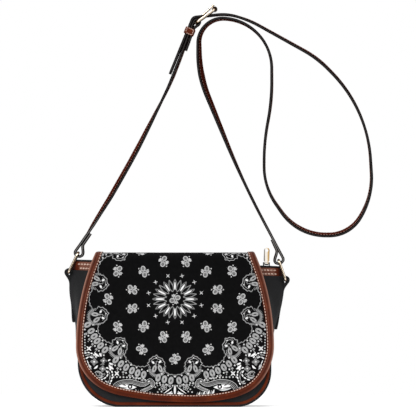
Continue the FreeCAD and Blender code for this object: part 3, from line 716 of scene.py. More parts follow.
def paisleyHead(place, turn):
    # A scalloped bud: two outlines, two drops, two seeds and a hatched foot; unturned, it points up.
    place = np.asarray(place, float)

    def at(points):
        return place + turned(points, turn)
    rimLine = np.array([
        (-9.4, -2.2), (-7.6, 0.4), (-8.0, 2.2), (-6.0, 4.2), (-4.9, 6.4), (-2.2, 6.8), (-0.2, 7.6),
        (1.2, 9.6), (2.6, 7.7), (4.9, 7.2), (6.0, 5.2), (8.0, 3.8), (7.7, 1.4), (9.4, -0.6), (7.2, -2.6),
    ])
    stroke(evenly(at(rimLine * [1.06, 1.0] + [0, 1.9]), 0.8)[0], 0.7, 0.6)
    stroke(evenly(at(rimLine[2:-2] * [0.74, 0.7] + [0.3, 2.1]), 0.8)[0], 0.6, 0.56)
    leaf(at((-4.2, 6.2)), at((-2.2, 3.0)), 2.2, 1.0)
    leaf(at((5.4, 4.0)), at((2.6, 1.8)), 2.2, 1.0)
    dot(at((1.3, 8.2)), 0.75, 0.9)
    stroke(at([(-2.2, 3.4), (-0.4, 5.0), (1.0, 4.2), (0.6, 2.2), (2.4, 1.6)]), 0.55, 0.6)
    for spot, lean in (((-4.2, -2.6), -0.5), ((1.9, -3.6), 0.22)):
        loop(at(spot), 1.25, 3.1, turn + lean, 1.8, 0.62)
        slit = turned([0.0, 2.1], lean)
        leaf(at(spot - slit), at(spot + slit), 1.3, 0.0)
        leaf(*(at(spot + turned([0.0, reach], lean)) for reach in (3.2, 5.8)), 1.0, 0.62)
    for rx, ry, width, tone in ((8.4, 7.6, 0.6, 0.5), (6.9, 6.2, 0.5, 0.42)):
        loop(at((-0.8, -3.2)), rx, ry, turn, width, tone, 0.47, 0.98)
    for k in range(15):
        out = turned([1.0, 0.0], math.pi * (1.08 + 0.06 * k))
        leaf(at(out * 5.6 + [-0.8, -3.2]), at(out * 9.8 + [-0.8, -3.2]), 0.95, 0.52)
    for spot in ((-8.6, -2.0), (7.0, -2.6), (6.4, -5.4)):
        loop(at(spot), 0.9, 0.9, 0, 0.55, 0.5)


heads = [((81.2, 96.6), 1.45), ((59.8, 63.2), 0.72), ((19.5, 43.4), 0.12)]
for place, turn in heads:
    paisleyHead(place, turn)

beadRuns = [
    [(92.8, 87.0), (89.0, 80.3), (85.8, 74.6), (82.6, 69.7), (79.0, 64.8), (74.2, 60.2)],
    [(62.9, 49.6), (57.3, 45.4), (51.8, 41.6), (45.6, 38.2), (39.6, 35.6), (33.2, 33.9)],
    [(17.9, 30.6), (11.2, 29.0), (4.3, 27.6)],
]


def beadBand(run):
    # Oval beads across the run with dots and small crosses on both sides.
    run = np.asarray(run, float)
    way = headings(run)
    inward = -leftOf(way)
    inward *= np.sign(inward[:, 1:] + 1e-9)
    for place, heading, side in zip(run, way, inward):
        loop(place, 1.6, 2.95, math.atan2(heading[1], heading[0]), 2.35, 0.6)
        leaf(place - side * 1.7, place + side * 1.7, 1.6, 0.0)
        dot(place + side * 5.0 + heading * 3.0, 0.85, 0.85)
        dot(place - side * 5.0 + heading * 3.0, 0.85, 0.85)
        for k in range(4):
            dot(place - side * 6.0 + turned([0.8, 0], k * math.pi / 2), 0.6, 0.6)
        dot(place - side * 8.2 + heading * 1.4, 0.55, 0.62)


for run in beadRuns:
    beadBand(run)


scallops = {
    "depth": 0.9, "length": 4.2, "line": 0.62, "tone": 0.58,
    "runs": [
        [(79.6, 88.7), (81.2, 85.2), (80.9, 79.5), (77.4, 73.4), (74.6, 70.9), (71.6, 69.0), (67.0, 67.8)],
        [(54.6, 60.0), (53.6, 56.3), (51.0, 50.2), (45.6, 45.4), (42.2, 43.6), (38.0, 43.0), (33.0, 43.0),
         (29.0, 44.2)],
        [(11.2, 42.5), (10.4, 38.5), (7.2, 35.4), (3.8, 34.4), (0.0, 34.2)],
        [(88.2, 104.0), (90.6, 107.4), (91.6, 111.0), (91.8, printSet["middle"])],
    ],
}


def scallop(points):
    # A thin line in small waves along the points.
    even, along = evenly(np.asarray(points, float), 0.5)
    wave = scallops["depth"] * np.abs(np.sin(along * math.pi / scallops["length"]))
    stroke(even + leftOf(headings(even)) * wave[:, None], scallops["line"], scallops["tone"])


for run in scallops["runs"]:
    scallop(run)

# Dots and rings at the side, between the upper and lower buds
for v in np.arange(103.4, 114.0, 3.4):
    dot((95.0, v), 0.8, 0.7)
    loop((97.6, v + 1.6), 0.9, 0.9, 0, 0.6, 0.5)

# Corner: stars, curled combs and small crosses
star((91.4, 61.7), 3.4, math.pi / 4, 1.0)
star((61.7, 35.2), 3.4, math.pi / 4, 1.0)


def sweep(points, pieces, width, tone):
    # A curve broken into plump dashes.
    for part in np.array_split(evenly(np.asarray(points, float), 0.25)[0], pieces):
        t = np.linspace(0, 1, len(part) - 2)
        stroke(part[1:-1], width * np.clip(np.sin(math.pi * t), 0.15, 1) ** 0.35, tone)


# How many dashes, their width and tone, and the curve
sweeps = [
    (7, 1.4, 1.0, [(73.4, 41.5), (71.6, 41.0), (69.0, 39.8), (66.8, 37.1), (66.2, 34.3), (66.4, 31.3),
                   (67.4, 27.8), (69.6, 23.0)]),
    (3, 0.9, 0.6, [(71.8, 38.4), (70.2, 37.0), (69.2, 34.8), (68.8, 31.6), (69.8, 27.4), (72.2, 23.6)]),
    (4, 1.35, 0.96, [(73.4, 38.4), (71.6, 36.6), (71.2, 34.2), (72.2, 32.0), (74.2, 30.4), (76.8, 29.0),
                     (79.8, 28.2)]),
    (2, 0.9, 0.8, [(74.6, 27.4), (71.6, 26.2), (73.4, 24.4), (75.4, 25.2)]),
    (1, 1.0, 0.62, [(79.4, 33.2), (77.2, 32.2), (77.6, 30.8), (81.0, 29.9), (83.6, 30.6)]),
    (1, 0.8, 0.5, [(74.6, 44.6), (77.4, 45.2), (79.4, 44.2)]),
    (2, 0.7, 0.5, [(75.4, 35.8), (74.2, 34.2), (75.2, 32.6), (78.0, 31.0)]),
    (5, 1.35, 1.0, [(96.4, 56.8), (91.9, 57.5), (87.5, 56.2), (84.8, 54.0), (83.1, 51.6)]),
    (2, 1.2, 0.52, [(95.6, 54.4), (90.8, 55.1), (87.5, 53.4), (85.2, 51.2)]),
    (2, 1.3, 0.96, [(94.9, 50.6), (92.4, 52.5), (89.7, 52.8), (87.0, 51.4)]),
    (2, 1.0, 0.95, [(93.2, 49.4), (92.6, 47.4), (91.0, 44.4), (88.9, 41.4)]),
]
for pieces, width, tone, curve in sweeps:
    sweep(curve, pieces, width, tone)
loop((81.2, 34.2), 3.9, 3.2, 0.4, 0.9, 0.62, 0.0, 0.85)
loop((81.6, 34.4), 2.1, 1.7, 0.4, 0.8, 0.5, 0.1, 1.0)
for place, reach in (((85.7, 47.6), 4.2), ((76.8, 40.2), 3.7), ((75.8, 48.7), 3.6)):
    for k in range(4):
        leaf(place, np.asarray(place) + turned([reach, 0], k * math.pi / 2 + 0.1), reach * 0.75, 0.42)
    dot(place, reach * 0.24, 1.0)
leaf((92.0, 45.4), (88.4, 39.4), 2.0, 0.6, 0.1)
leaf((92.0, 45.4), (88.4, 39.4), 0.7, 0.95, 0.1)
cornerLeaves = [
    ((85.6, 57.8), (80.0, 53.4), 2.3), ((79.9, 57.0), (77.6, 53.5), 2.1), ((69.9, 46.6), (65.9, 45.1), 2.0),
    ((70.1, 44.6), (64.8, 39.8), 2.5), ((68.2, 49.8), (71.2, 48.2), 1.4), ((86.0, 40.4), (82.0, 44.0), 2.0),
]
for start, end, width in cornerLeaves:
    leaf(start, end, width, 1.0, 0.12)
stroke([(80.6, 37.2), (78.8, 35.8), (77.2, 34.7), (75.6, 34.4)], 0.8, 0.62)
dot((74.1, 48.1), 0.75, 0.0)
for k in range(7):
    dot((95.9 - 0.1 * k, 77.0 - 3.0 * k), 0.75, 0.75)

# Long paisley at the foot: nested contours between an outer line and an inner one, an eye and comb strokes
outerLine = np.array([
    (67.4, 18.6), (66.5, 20.9), (64.4, 24.2), (60.8, 26.6), (56.5, 28.0), (50.8, 28.8), (45.8, 28.6),
    (40.8, 27.3), (35.1, 25.6), (31.6, 25.9), (29.4, 28.4), (26.6, 29.8), (23.7, 28.6), (21.6, 25.4),
    (21.6, 22.4), (24.4, 19.6), (28.7, 17.4), (35.1, 15.3),
])
innerLine = np.array([
    (62.6, 17.6), (61.8, 19.4), (60.2, 21.6), (57.4, 23.2), (54.4, 24.2), (49.8, 24.6), (45.6, 24.4),
    (41.2, 23.0), (36.4, 21.6), (32.2, 21.8), (29.2, 23.4), (26.8, 25.2), (25.4, 25.0), (25.0, 24.0),
    (25.4, 23.0), (27.4, 21.2), (30.8, 19.6), (35.6, 17.8),
])
for share, tone in ((0.0, 0.78), (0.36, 0.5), (0.68, 0.62), (1.0, 0.8)):
    stroke(evenly(outerLine + (innerLine - outerLine) * share, 0.8)[0], 0.5, tone)
leaf((59.4, 22.2), (41.0, 20.6), 5.2, 1.0, 0.03)
leaf((60.4, 20.2), (47.0, 17.2), 1.5, 0.9, 0.06)
dot((27.6, 26.8), 0.8, 1.0)
dot((24.6, 21.6), 0.7, 0.9)
for k in range(8):
    width, tone = (1.2, 0.5) if k % 2 else (2.0, 0.92)
    leaf((41.6 - 2.5 * k, 18.4 - 0.42 * k), (38.0 - 2.5 * k, 11.4 - 0.35 * k), width, tone, 0.08)
for k in range(5):
    width, tone = (1.7, 0.92) if k % 2 else (1.1, 0.6)
    leaf((62.6 + 2.4 * k, 17.2 + 1.2 * k), (58.4 + 2.9 * k, 12.6 + 1.5 * k), width, tone, -0.08)
for k in range(10):
    dot((65.2 - 3.55 * k, 31.4 - 0.02 * k * k), 0.85, 0.75)

# The eye comes well after its leaf, so that it lies clear above it
dot((47.6, 21.2), 2.5, 0.0)
leaf((57.6, 20.8), (50.4, 19.8), 0.9, 0.0, 0.05)
leaf((56.0, 23.6), (51.6, 22.2), 1.0, 0.0)

# Foot of the middle: a leaf flower between two small blossoms
leaf((0, 12.0), (0, 23.4), 2.3, 1.0)
leaf((12.2, 13.6), (2.8, 20.6), 1.1, 0.95)
leaf((9.6, 13.4), (3.2, 16.6), 1.6, 0.95, 0.15)
leaf((6.6, 13.0), (1.9, 14.4), 1.7, 0.95)
for k in range(5):
    a = 2 * math.pi * k / 5
    loop(np.array([11.6, 20.4]) + turned([2.0, 0], a), 1.1, 1.1, 0, 0.75, 0.55)
for spot in ((7.6, 23.0), (15.4, 23.0), (16.4, 18.4), (19.4, 25.2), (14.2, 16.0), (18.2, 15.4), (20.8, 20.6)):
    dot(spot, 0.8, 0.75)
dot((47.6, 21.2), 1.0, 1.0)


def insidePrint(x, v):
    # Where the cloth shows: inside the foot arc, the corner arcs and the sides, all let down as the edge is.
    v = v + hang(x, v)
    x = np.abs(x)
    lowZ = flap["lip"] + flap["lowRadius"]
    cornerX, cornerZ = flap["half"] - flap["corner"], flap["widest"]
    meet = math.atan2(cornerZ - lowZ, cornerX)
    inFoot = np.arctan2(v - lowZ, x) < meet
    foot = np.hypot(x, v - lowZ) < flap["lowRadius"] - printSet["edge"]
    corner = np.hypot(x - cornerX, v - cornerZ) < flap["corner"] - printSet["edge"]
    corner |= x < cornerX
    sides = (x < flapHalf(v) - printSet["edge"]) & (v < backEnd - 1)
    return np.where(v > cornerZ, sides, np.where(inFoot, foot, corner))


def inkMesh(name, keep):
    # A strip of quads for each stroke, a layer above the one before; quads outside the cloth are left out.
    points, faces, tones, lifts, count = [], [], [], [], 0
    for index, (place, widths, tone) in enumerate(strokes):
        side = leftOf(headings(place)) * (widths / 2)[:, None]
        strip = np.stack([place + side, place - side], 1).reshape(-1, 2)
        quads = gridFaces(len(place), 2)
        corner = strip[quads]
        good = insidePrint(corner[..., 0], corner[..., 1]).all(1) & keep(corner.mean(1)[:, 1])
        points.append(strip)
        faces.append(quads[good] + count)
        tones.append(np.full(len(place) * 2, tone ** printSet["depth"]))
        lifts.append(np.full(len(place) * 2, printSet["lift"] + printSet["layer"] * index))
        count += len(place) * 2
    points, faces, tones, lifts = (np.concatenate(part) for part in (points, faces, tones, lifts))
    used, faces = np.unique(faces, return_inverse=True)
    faces = faces.reshape(-1, 4)
    points = points[used]
    surface = flapPoint(points[:, 0], points[:, 1], lifts[used])
    corner = points[faces]
    area = np.cross(corner[:, 1] - corner[:, 0], corner[:, 2] - corner[:, 0])
    faces[area < 0] = faces[area < 0][:, ::-1]
    return makePiece(name, surface, faces, finishes["printInk"], marks={"tone": tones[used]}, closed=False)


inkFront = inkMesh("printFront", lambda v: v <= topMiddle)
inkBack = inkMesh("printBack", lambda v: v > topMiddle)
print("print drawn:", len(strokes), "strokes")

for piece in (flapFront, flapBinding, flapStitch, inkFront):
    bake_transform(piece)
for piece in [flapBack, inkBack] + backBindings + backStitch:
    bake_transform(piece)


# Body: leaned panels, a soft gusset that flares at the mouth, and edge binding

body = {
    # Half width, where the sides start to close in, corner radii left and right, radius of the sides
    "half": 102.44, "corner": 49.92, "foot": {-1: 46.5, 1: 38.5}, "sideRadius": 257.57,
    # Mouth above the corners and above the floor, its half width, droop to the right, flare of each side
    "rise": 100.67, "mouth": 150.59, "mouthHalf": 82.0, "droop": 0.0327, "flare": {-1: 5.2, 1: 10.6},
    # Thickness of panels and gusset, the gusset's trim, how much fuller the left half is, outline step
    "panel": 2.0, "wall": 1.8, "trim": 0.4, "leftFull": 1.009, "step": 1.6,
}


def panelPoint(x, z, d, sign=-1):
    # A point d outside the inner face of the leaned panel; sign -1 is the front.
    x, z, d = alike(x, z, d)
    s, c = math.sin(flap["lean"]), math.cos(flap["lean"])
    x = np.where(x < 0, x * body["leftFull"], x)
    return np.stack([x, sign * (flap["halfDepth"] - z * s + d * c), d * s + z * c], -1)


def sideEdge(z):
    # The panel's half width: even up to the corner height, then an arc that closes in.
    return sideArc(z, body["half"], body["corner"], body["sideRadius"])


def sideFold(z, side):
    # The gusset's fold: a straight line that flares out above the corner.
    return body["half"] + body["flare"][side] * np.clip(z - body["corner"], 0, None) / body["rise"]


# Heights, and how far the left and the right side stand out there
sag = {
    -1: ([48.0, 73.0, 86.0, 100.0, 120.0, 138.0, 148.0, 156.0], [0.0, 1.7, 0.7, 2.9, 5.7, 4.4, 0.9, 0.0]),
    1: ([48.0, 64.0, 79.0, 96.0, 112.0, 130.0, 140.0, 150.0], [0.0, 0.0, -1.0, 2.3, 4.4, 4.7, 2.7, 0.0]),
    "soft": 5,
}


def sideBulge(side, z):
    # How far the soft side stands out beyond its straight fold: a rounded rise below the mouth.
    heights = np.arange(0.0, 175.0)
    return np.interp(z, heights, smoothed(np.interp(heights, *sag[side]), sag["soft"], 2))


def mouthAt(x):
    # The mouth's height: a straight line that droops to the right.
    return body["mouth"] - math.tan(body["droop"]) * x


def bodyEdge(inset):
    # Left mouth, down the side arc, round the corner, along the foot, and up the right.
    a = np.linspace(0, math.pi / 2, 40)
    halves = []
    for side in (-1, 1):
        r = body["foot"][side]
        z = np.linspace(mouthAt(side * body["mouthHalf"]), r, 60)
        way = np.arctan2(np.clip(z - body["corner"], 0, None), body["sideRadius"])
        flank = np.stack([side * (sideEdge(z) - inset * np.cos(way)), z - inset * np.sin(way)], -1)
        bow = r - inset
        corner = np.stack([side * (body["half"] - r + bow * np.cos(a)), r - bow * np.sin(a)], -1)
        halves.append(np.concatenate([flank, corner[1:]]))
    return evenly(np.concatenate([halves[0], halves[1][::-1]]), body["step"])[0]


panels = {"middle": (0.0, 75.0), "swell": 0.35, "tuck": 0.5, "tuckFrom": 0.985}
edging = {"inset": 3.3, "half": 1.5, "foot": 0.02, "high": 0.92, "power": 0.6, "sunk": -0.2}
for label, sign, node in (("front", -1, "front_panel"), ("back", 1, "back_panel")):
    edge = bodyEdge(0.0)
    top = np.linspace(edge[-1], edge[0], 50)[1:-1]
    out = np.linspace(0, 1, 40)[None, :]
    fan = raysTo(np.concatenate([edge, top]), panels["middle"], out.size)
    swell = panels["swell"] * (1 - out ** 2) - panels["tuck"] * smoothStep(out, panels["tuckFrom"], 1)
    sheets = [panelPoint(fan[..., 0], fan[..., 1], d, sign) for d in (body["panel"] + swell, 0.0)]
    panel = shell(label + "Panel", *sheets, finishes["blackLeather"], wrapRows=True)
    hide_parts(node)
    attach(panel, "bag")
    # Binding: a low rounded strip on the panel's edge
    line = bodyEdge(edging["inset"])
    a = np.linspace(0, math.pi, 9)
    arch = edging["foot"] + edging["high"] * np.sin(a) ** edging["power"]
    profile = np.concatenate([
        np.stack([edging["half"] * np.cos(a), arch], -1),
        [(-edging["half"], edging["sunk"]), (edging["half"], edging["sunk"])],
    ])
    place = line[:, None] + leftOf(headings(line))[:, None] * profile[None, :, :1]
    points = panelPoint(place[..., 0], place[..., 1], body["panel"] + profile[None, :, 1], sign)
    strip = carried(label + "Binding", points, finishes["brownLeather"])
    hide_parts(label + "_binding")
    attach(strip, "bag")

# Share of the half depth that swings out, its ease, the waves, and the lift of the lip
pleat = {"share": 0.74, "ease": 0.25, "wave": 0.9, "waves": 9.0, "lipLift": 1.25, "lipPower": 9}


def gussetSide(side, q, t, off=0.0):
    # Side wall: q from the corner to the mouth, t from the front edge (-1) to the back edge (1).
    # Across the depth the edge line swings out to the fold line along an eased curve with soft waves.
    reach = 1 - np.abs(t)
    swing = np.clip(reach / pleat["share"], 0, 1)
    swing = (1 - pleat["ease"]) * swing + pleat["ease"] * smoothStep(swing, 0, 1)
    guess = sideEdge(body["mouth"]) + swing * (sideFold(body["mouth"], side) - sideEdge(body["mouth"]))
    top = mouthAt(side * guess)
    z = body["foot"][side] + q * (top - body["foot"][side])
    x = sideEdge(z) + swing * (sideFold(z, side) + sideBulge(side, z) - sideEdge(z))
    level = np.clip(q, 0, 1)
    wave = pleat["wave"] * np.sin(reach * pleat["waves"] + side) * 4 * reach * (1 - reach)
    wave = wave * np.sin(math.pi * level)
    depth = flap["halfDepth"] - z * math.tan(flap["lean"])
    full = body["leftFull"] if side < 0 else 1.0
    drop = body["trim"] * (1 - pleat["lipLift"] * level ** pleat["lipPower"])
    return np.stack(np.broadcast_arrays(side * full * (x + off + wave), t * depth, z - drop), -1)


def gussetFoot(u, t):
    # Corner and foot: the rounded outline carried straight across the depth.
    r = np.where(u < 0, body["foot"][-1], body["foot"][1])
    a = np.clip(np.abs(u) - 1, 0, 1) * math.pi / 2
    x = np.sign(u) * (np.clip(np.abs(u), 0, 1) * (body["half"] - r) + r * np.sin(a))
    x = np.where(x < 0, x * body["leftFull"], x)
    z = np.clip(r * (1 - np.cos(a)) - body["trim"], 0, None)
    depth = flap["halfDepth"] - z * math.tan(flap["lean"])
    return np.stack(np.broadcast_arrays(x, t * depth, z), -1)


t = np.linspace(-1, 1, 61)[None, :]
rows = np.linspace(1, 0, 60)[:, None]
feet = np.linspace(-2, 2, 110)[1:-1, None]
wall = np.concatenate([
    gussetSide(-1, rows, t), gussetFoot(feet, t), gussetSide(1, rows[::-1], t),
])
ways = np.stack(np.gradient(wall, axis=(0, 1)), 0)
normal = np.cross(ways[0], ways[1])
normal /= np.linalg.norm(normal, axis=-1, keepdims=True)
if normal[wall.shape[0] // 2, wall.shape[1] // 2, 2] < 0:
    normal = -normal
gusset = shell("gusset", wall, wall + normal * body["wall"], finishes["blackLeather"])
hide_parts("gusset")
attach(gusset, "bag")

# Mouth bands: a leather strip round the top of each gusset side, with two stitch rows
lipBand = {
    "downs": [0.0, 0.25, 0.8, 2.0, 4.2, 6.4, 7.7, 8.2, 8.5], "half": 0.99, "thick": 0.6, "sunk": -0.3,
    # Painted shade toward both ends of the band, and a painted highlight over its stitched middle that fades
    # out before them.
    "paintedShade": (5.4, 3.6), "dull": (9.4, 7.6), "paintedShine": 0.22,      # in from its outermost point
    "rows": (2.5, 6.5), "rowHalf": 0.96, "rowPoints": 25, "rowStop": 8.2, "rowLift": 0.65,
    "dash": {"length": 0.07, "width": 1.5, "high": 0.5},        # its length is a share of half the depth
}
for side, label in ((-1, "left"), (1, "right")):
    def bandPoint(x, v, h, side=side):
        # x runs across the depth as a share, v down from the mouth in millimetres.
        return gussetSide(side, 1 - v / (body["mouth"] - body["foot"][side]), x, h)
    down = np.array(lipBand["downs"])[:, None]
    thick = lipBand["thick"] * np.clip(np.sin(math.pi * down / down.max()), 0, 1) ** 0.25
    share = np.linspace(-lipBand["half"], lipBand["half"], 60)[None, :]
    outer, inner = (bandPoint(share, down, h) for h in (thick, lipBand["sunk"]))
    reach = np.abs(outer[..., 0])
    # Painted shade rises toward the band's ends; the painted highlight fades out near them.
    paintedShade, dull = (smoothStep(reach, *(reach.max() - lipBand[key])) for key in ("paintedShade", "dull"))
    marks = {"paintedShade": np.stack([paintedShade, paintedShade]), "paintedShine": lipBand["paintedShine"] * (1 - np.stack([dull, dull]))}
    band = shell("mouthBand" + label.title(), outer, inner, finishes["brownLeather"], marks=marks)
    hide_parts("mouth_band_" + label)
    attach(band, "bag")
    for index, v in enumerate(lipBand["rows"]):
        count = lipBand["rowPoints"]
        row = np.stack([np.linspace(-lipBand["rowHalf"], lipBand["rowHalf"], count), np.full(count, v)], -1)
        row = row[np.abs(bandPoint(row[:, 0], row[:, 1], 0.0)[:, 0]) < reach.max() - lipBand["rowStop"]]
        ways = np.tile([1.0, 0.0], (len(row), 1))
        name = "mouthStitch" + label.title() + str(index)
        stitches = stitchRow(name, row, ways, bandPoint, lipBand["rowLift"], lipBand["dash"])
        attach(stitches, "bag")

# Mouth strips: soft sheets between the gusset sides on both sides of the zip
mouth = {
    # Start and end across the depth, then the low and the high face
    "facing": (7.0, 29.0, 0.15, 2.0), "tape": (3.0, 11.4, -0.75, 0.0), "end": (-6.9, 6.9, 0.15, 1.95),
    "halfDepth": 29.3, "seam": 1.5, "dip": 0.5, "dipStart": 7.0, "dipWide": 22.0, "edge": 0.25,
}
mouth["zipLeft"], mouth["zipRight"] = (corner[0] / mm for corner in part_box("zip_tape_front"))


def mouthPoint(share, y, h, left=None, right=None):
    # Share runs from the left side to the right at this depth; the sheet dips a little away from its seams.
    t = np.abs(y) / mouth["halfDepth"]
    edges = [gussetSide(side, 1.0, t)[..., 0] for side in (-1, 1)]
    low = edges[0] + mouth["seam"] if left is None else np.full_like(edges[0], left)
    high = edges[1] - mouth["seam"] if right is None else np.full_like(edges[1], right)
    x = low + share * (high - low)
    inside = np.clip(np.abs(y) - mouth["dipStart"], 0, mouth["dipWide"]) / mouth["dipWide"]
    dip = mouth["dip"] * np.sin(math.pi * share) ** 2 * np.sin(inside * math.pi)
    return np.stack(np.broadcast_arrays(x, y, mouthAt(x) + h - dip), -1)


across = np.linspace(0, 1, 80)[:, None]
wide = np.linspace(0, 1, 18)[None, :]
tapeEnds = {"left": mouth["zipLeft"], "right": mouth["zipRight"]}
for label, sign in (("front", -1), ("back", 1)):
    for name, finishName, ends in (("facing", "blackLeather", {}), ("tape", "zipCloth", tapeEnds)):
        start, end, low, high = mouth[name]
        y = sign * (start + (end - start) * wide)
        edge = mouth["edge"] * (1 - np.sin(math.pi * wide) ** 0.2)
        sheets = [mouthPoint(across, y, h, **ends) for h in (high - edge, low)]
        piece = shell("zip" + name.title() + label.title(), *sheets, finishes[finishName])
        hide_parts("zip_" + name + "_" + label)
        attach(piece, "bag")
start, end, low, high = mouth["end"]
y = start + (end - start) * wide
tabEnds = {
    "left": {"right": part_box("zip_end_tab_left")[1][0] / mm},
    "right": {"left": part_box("zip_end_tab_right")[0][0] / mm},
}
for label, ends in tabEnds.items():
    sheets = [mouthPoint(across, y, h, **ends) for h in (high, low)]
    piece = shell("zipEnd" + label.title(), *sheets, finishes["blackLeather"])
    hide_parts("zip_end_tab_" + label)
    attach(piece, "bag")

# Seam filler between the back panel and the flap's sewn strip
seam = {"half": 72.6, "heights": (109.9, 139.6), "inner": 0.45, "outer": 4.15}
share = np.linspace(-seam["half"], seam["half"], 40)[None, :]
z = np.linspace(*seam["heights"], 14)[:, None]
sheets = [panelPoint(share, z, d, 1) for d in (seam["outer"], body["panel"] + seam["inner"])]
filler = shell("flapFiller", *sheets, finishes["blackLeather"])
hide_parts("flap_seam_strip")
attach(filler, "bag")

pocket = {
    "floor": 3.8, "below": 4.6, "tiltFrom": 100.0, "tiltOver": 46.0, "ease": 1.2,
    "outer": 4.1, "inner": 4.8, "lift": 0.6,        # both faces in from the body, the inner one raised
}


def liningPoint(level, turn, inset):
    # Level runs from the middle of the floor (-1) to its edge (0) and up to the mouth (1).
    # Turn goes round: front, right side, back, left side; the sides fold out like the gusset.
    up, flat = np.clip(level, 0, 1), np.clip(level + 1, 0, 1)
    part, along = np.floor(turn).astype(int) % 4, turn - np.floor(turn)
    side = np.where(part == 3, -1, np.where(part == 1, 1, np.where((part == 0) == (along > 0.5), 1, -1)))
    z = pocket["floor"] + up * (body["mouth"] - pocket["below"] - pocket["floor"])
    tilt = np.clip((z - pocket["tiltFrom"]) / pocket["tiltOver"], 0, 1)
    rise = np.clip(body["corner"] - z, 0, None)
    edge = sideEdge(z) - body["corner"] + np.sqrt(body["corner"] ** 2 - rise ** 2) - inset - pocket["ease"]
    depth = flap["halfDepth"] - z * math.tan(flap["lean"]) - inset
    swing = np.clip((1 - np.abs(2 * along - 1)) / pleat["share"], 0, 1)
    fold = np.where(side > 0, sideFold(z, 1), sideFold(z, -1))
    fold = np.where(z > body["corner"], fold - inset, fold - body["half"] + edge)
    out = edge + swing * (fold - edge)
    across = 2 * along - 1
    parts = [part == 0, part == 1, part == 2]
    xs = np.select(parts, [edge * across, out, -edge * across], -out)
    ys = np.select(parts, [-depth, depth * across, depth], -depth * across)
    zs = z - tilt * math.tan(body["droop"]) * xs
    return np.stack([xs * flat, ys * flat, zs], -1)


levels = np.concatenate([np.linspace(-1, -0.05, 8), np.linspace(0, 1, 50)])[None, :]
turns = np.linspace(0, 4, 161)[:-1, None]
sheets = [liningPoint(levels, turns, pocket["outer"]), liningPoint(levels, turns, pocket["inner"])]
sheets[1][..., 2] += pocket["lift"]
lining = shell("lining", *sheets, finishes["liningCloth"], wrapRows=True)
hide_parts("lining")
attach(lining, "bag")
print("body made")


# Strap: leather of rounded section carried along its route, with painted edges and two stitch rows a side

strap = {
    "width": 19.0, "thick": 2.9, "round": 0.9, "leftSlack": 1.0, "rightSlack": 2.2, "step": 1.2, "tip": 9.0,
    "turn": 3.05, "lap": 0.2,       # radius round a bar; how far the sewn end sinks in
    # Painted highlight along each edge, brighter near the ring, fading out over the given stretch.
    "gleam": 0.16, "ringPaintedGleam": 0.72, "gleamEnd": (55, 95),
    "row": 7.1, "rowStart": 4.0, "rowSunk": 0.03, "pitch": 3.1,
    "dash": {"length": 2.1, "width": 0.6, "high": 0.28},
    # The short strap's bow to the right, by height
    "bowHeights": [160, 174, 184, 205, 222, 236, 250, 294, 312, 328, 340, 352, 370, 386, 396, 404],
    "bow": [0.0, 1.6, 2.4, 2.6, 3.0, 2.6, 2.2, 1.6, 1.8, 2.4, 2.9, 2.9, 2.2, 1.2, 0.4, 0.0],
}


def roundedRoute(points, shares):
    # Straight runs joined by arcs that touch both; each arc takes a share of the shorter run.
    # The lengths up to the middle of each arc come with it.
    points = np.asarray(points, float)
    count = 40
    made = [points[:1]]
    for k, share in enumerate(shares):
        a, b = points[k] - points[k + 1], points[k + 2] - points[k + 1]
        reach = share * min(np.linalg.norm(a), np.linalg.norm(b))
        a, b = a / np.linalg.norm(a), b / np.linalg.norm(b)
        half = math.acos(a @ b) / 2
        radius = reach * math.tan(half)
        mid = (a + b) / np.linalg.norm(a + b)
        centre = points[k + 1] + mid * radius / math.sin(half)
        first, last = points[k + 1] + a * reach - centre, points[k + 1] + b * reach - centre
        start = math.atan2(first[1], first[0])
        turn = (math.atan2(last[1], last[0]) - start + math.pi) % (2 * math.pi) - math.pi
        angle = start + turn * np.linspace(0, 1, count)
        made.append(centre + radius * np.stack([np.cos(angle), np.sin(angle)], -1))
    made.append(points[-1:])
    path = np.concatenate(made)
    return path, reachAlong(path)[count // 2 + 1:-1:count]


def barTurn(bar, away, inner, back=23.0, taper=7.5, outer=0.0, slack=0.0):
    # Round a bar from the strap's side to the far side, standing off by the slack on each,
    # then flat against the strap.
    bar, away, inner = (np.asarray(p, float) for p in (bar, away, inner))
    radius, loose = strap["turn"], slack + outer
    a = np.linspace(-math.pi / 2, math.pi / 2, 30)[:, None]
    middle = bar + inner * ((slack - outer) / 2)
    ring = middle + np.sin(a) * inner * (radius + loose / 2) - np.cos(a) * away * (radius + loose / 6)
    t = np.linspace(0, 1, 20)[1:, None]
    far = strap["thick"] - strap["lap"] - radius - outer
    close = bar + away * (taper * t) + inner * (radius + slack + (far - radius - slack) * smoothStep(t, 0, 1))
    end = bar + away * back + inner * far
    return np.concatenate([ring, close, end[None]])


def strapPoint(route, twist, at):
    # x is along the route, y across the width and h off the middle, rolled by the twist.
    normal = leftOf(headings(route))

    def place(x, y, h):
        x, y, h = np.broadcast_arrays(x, y, h)
        centre = np.stack([np.interp(x, at, route[:, k]) for k in (0, 1)], -1)
        n = np.stack([np.interp(x, at, normal[:, k]) for k in (0, 1)], -1)
        n /= np.linalg.norm(n, axis=-1, keepdims=True)
        roll = np.interp(x, *twist)
        across = y * np.cos(roll) - h * np.sin(roll)
        out = y * np.sin(roll) + h * np.cos(roll)
        flat = centre + n * out[..., None]
        return np.stack([flat[..., 0], across, flat[..., 1]], -1)
    return place


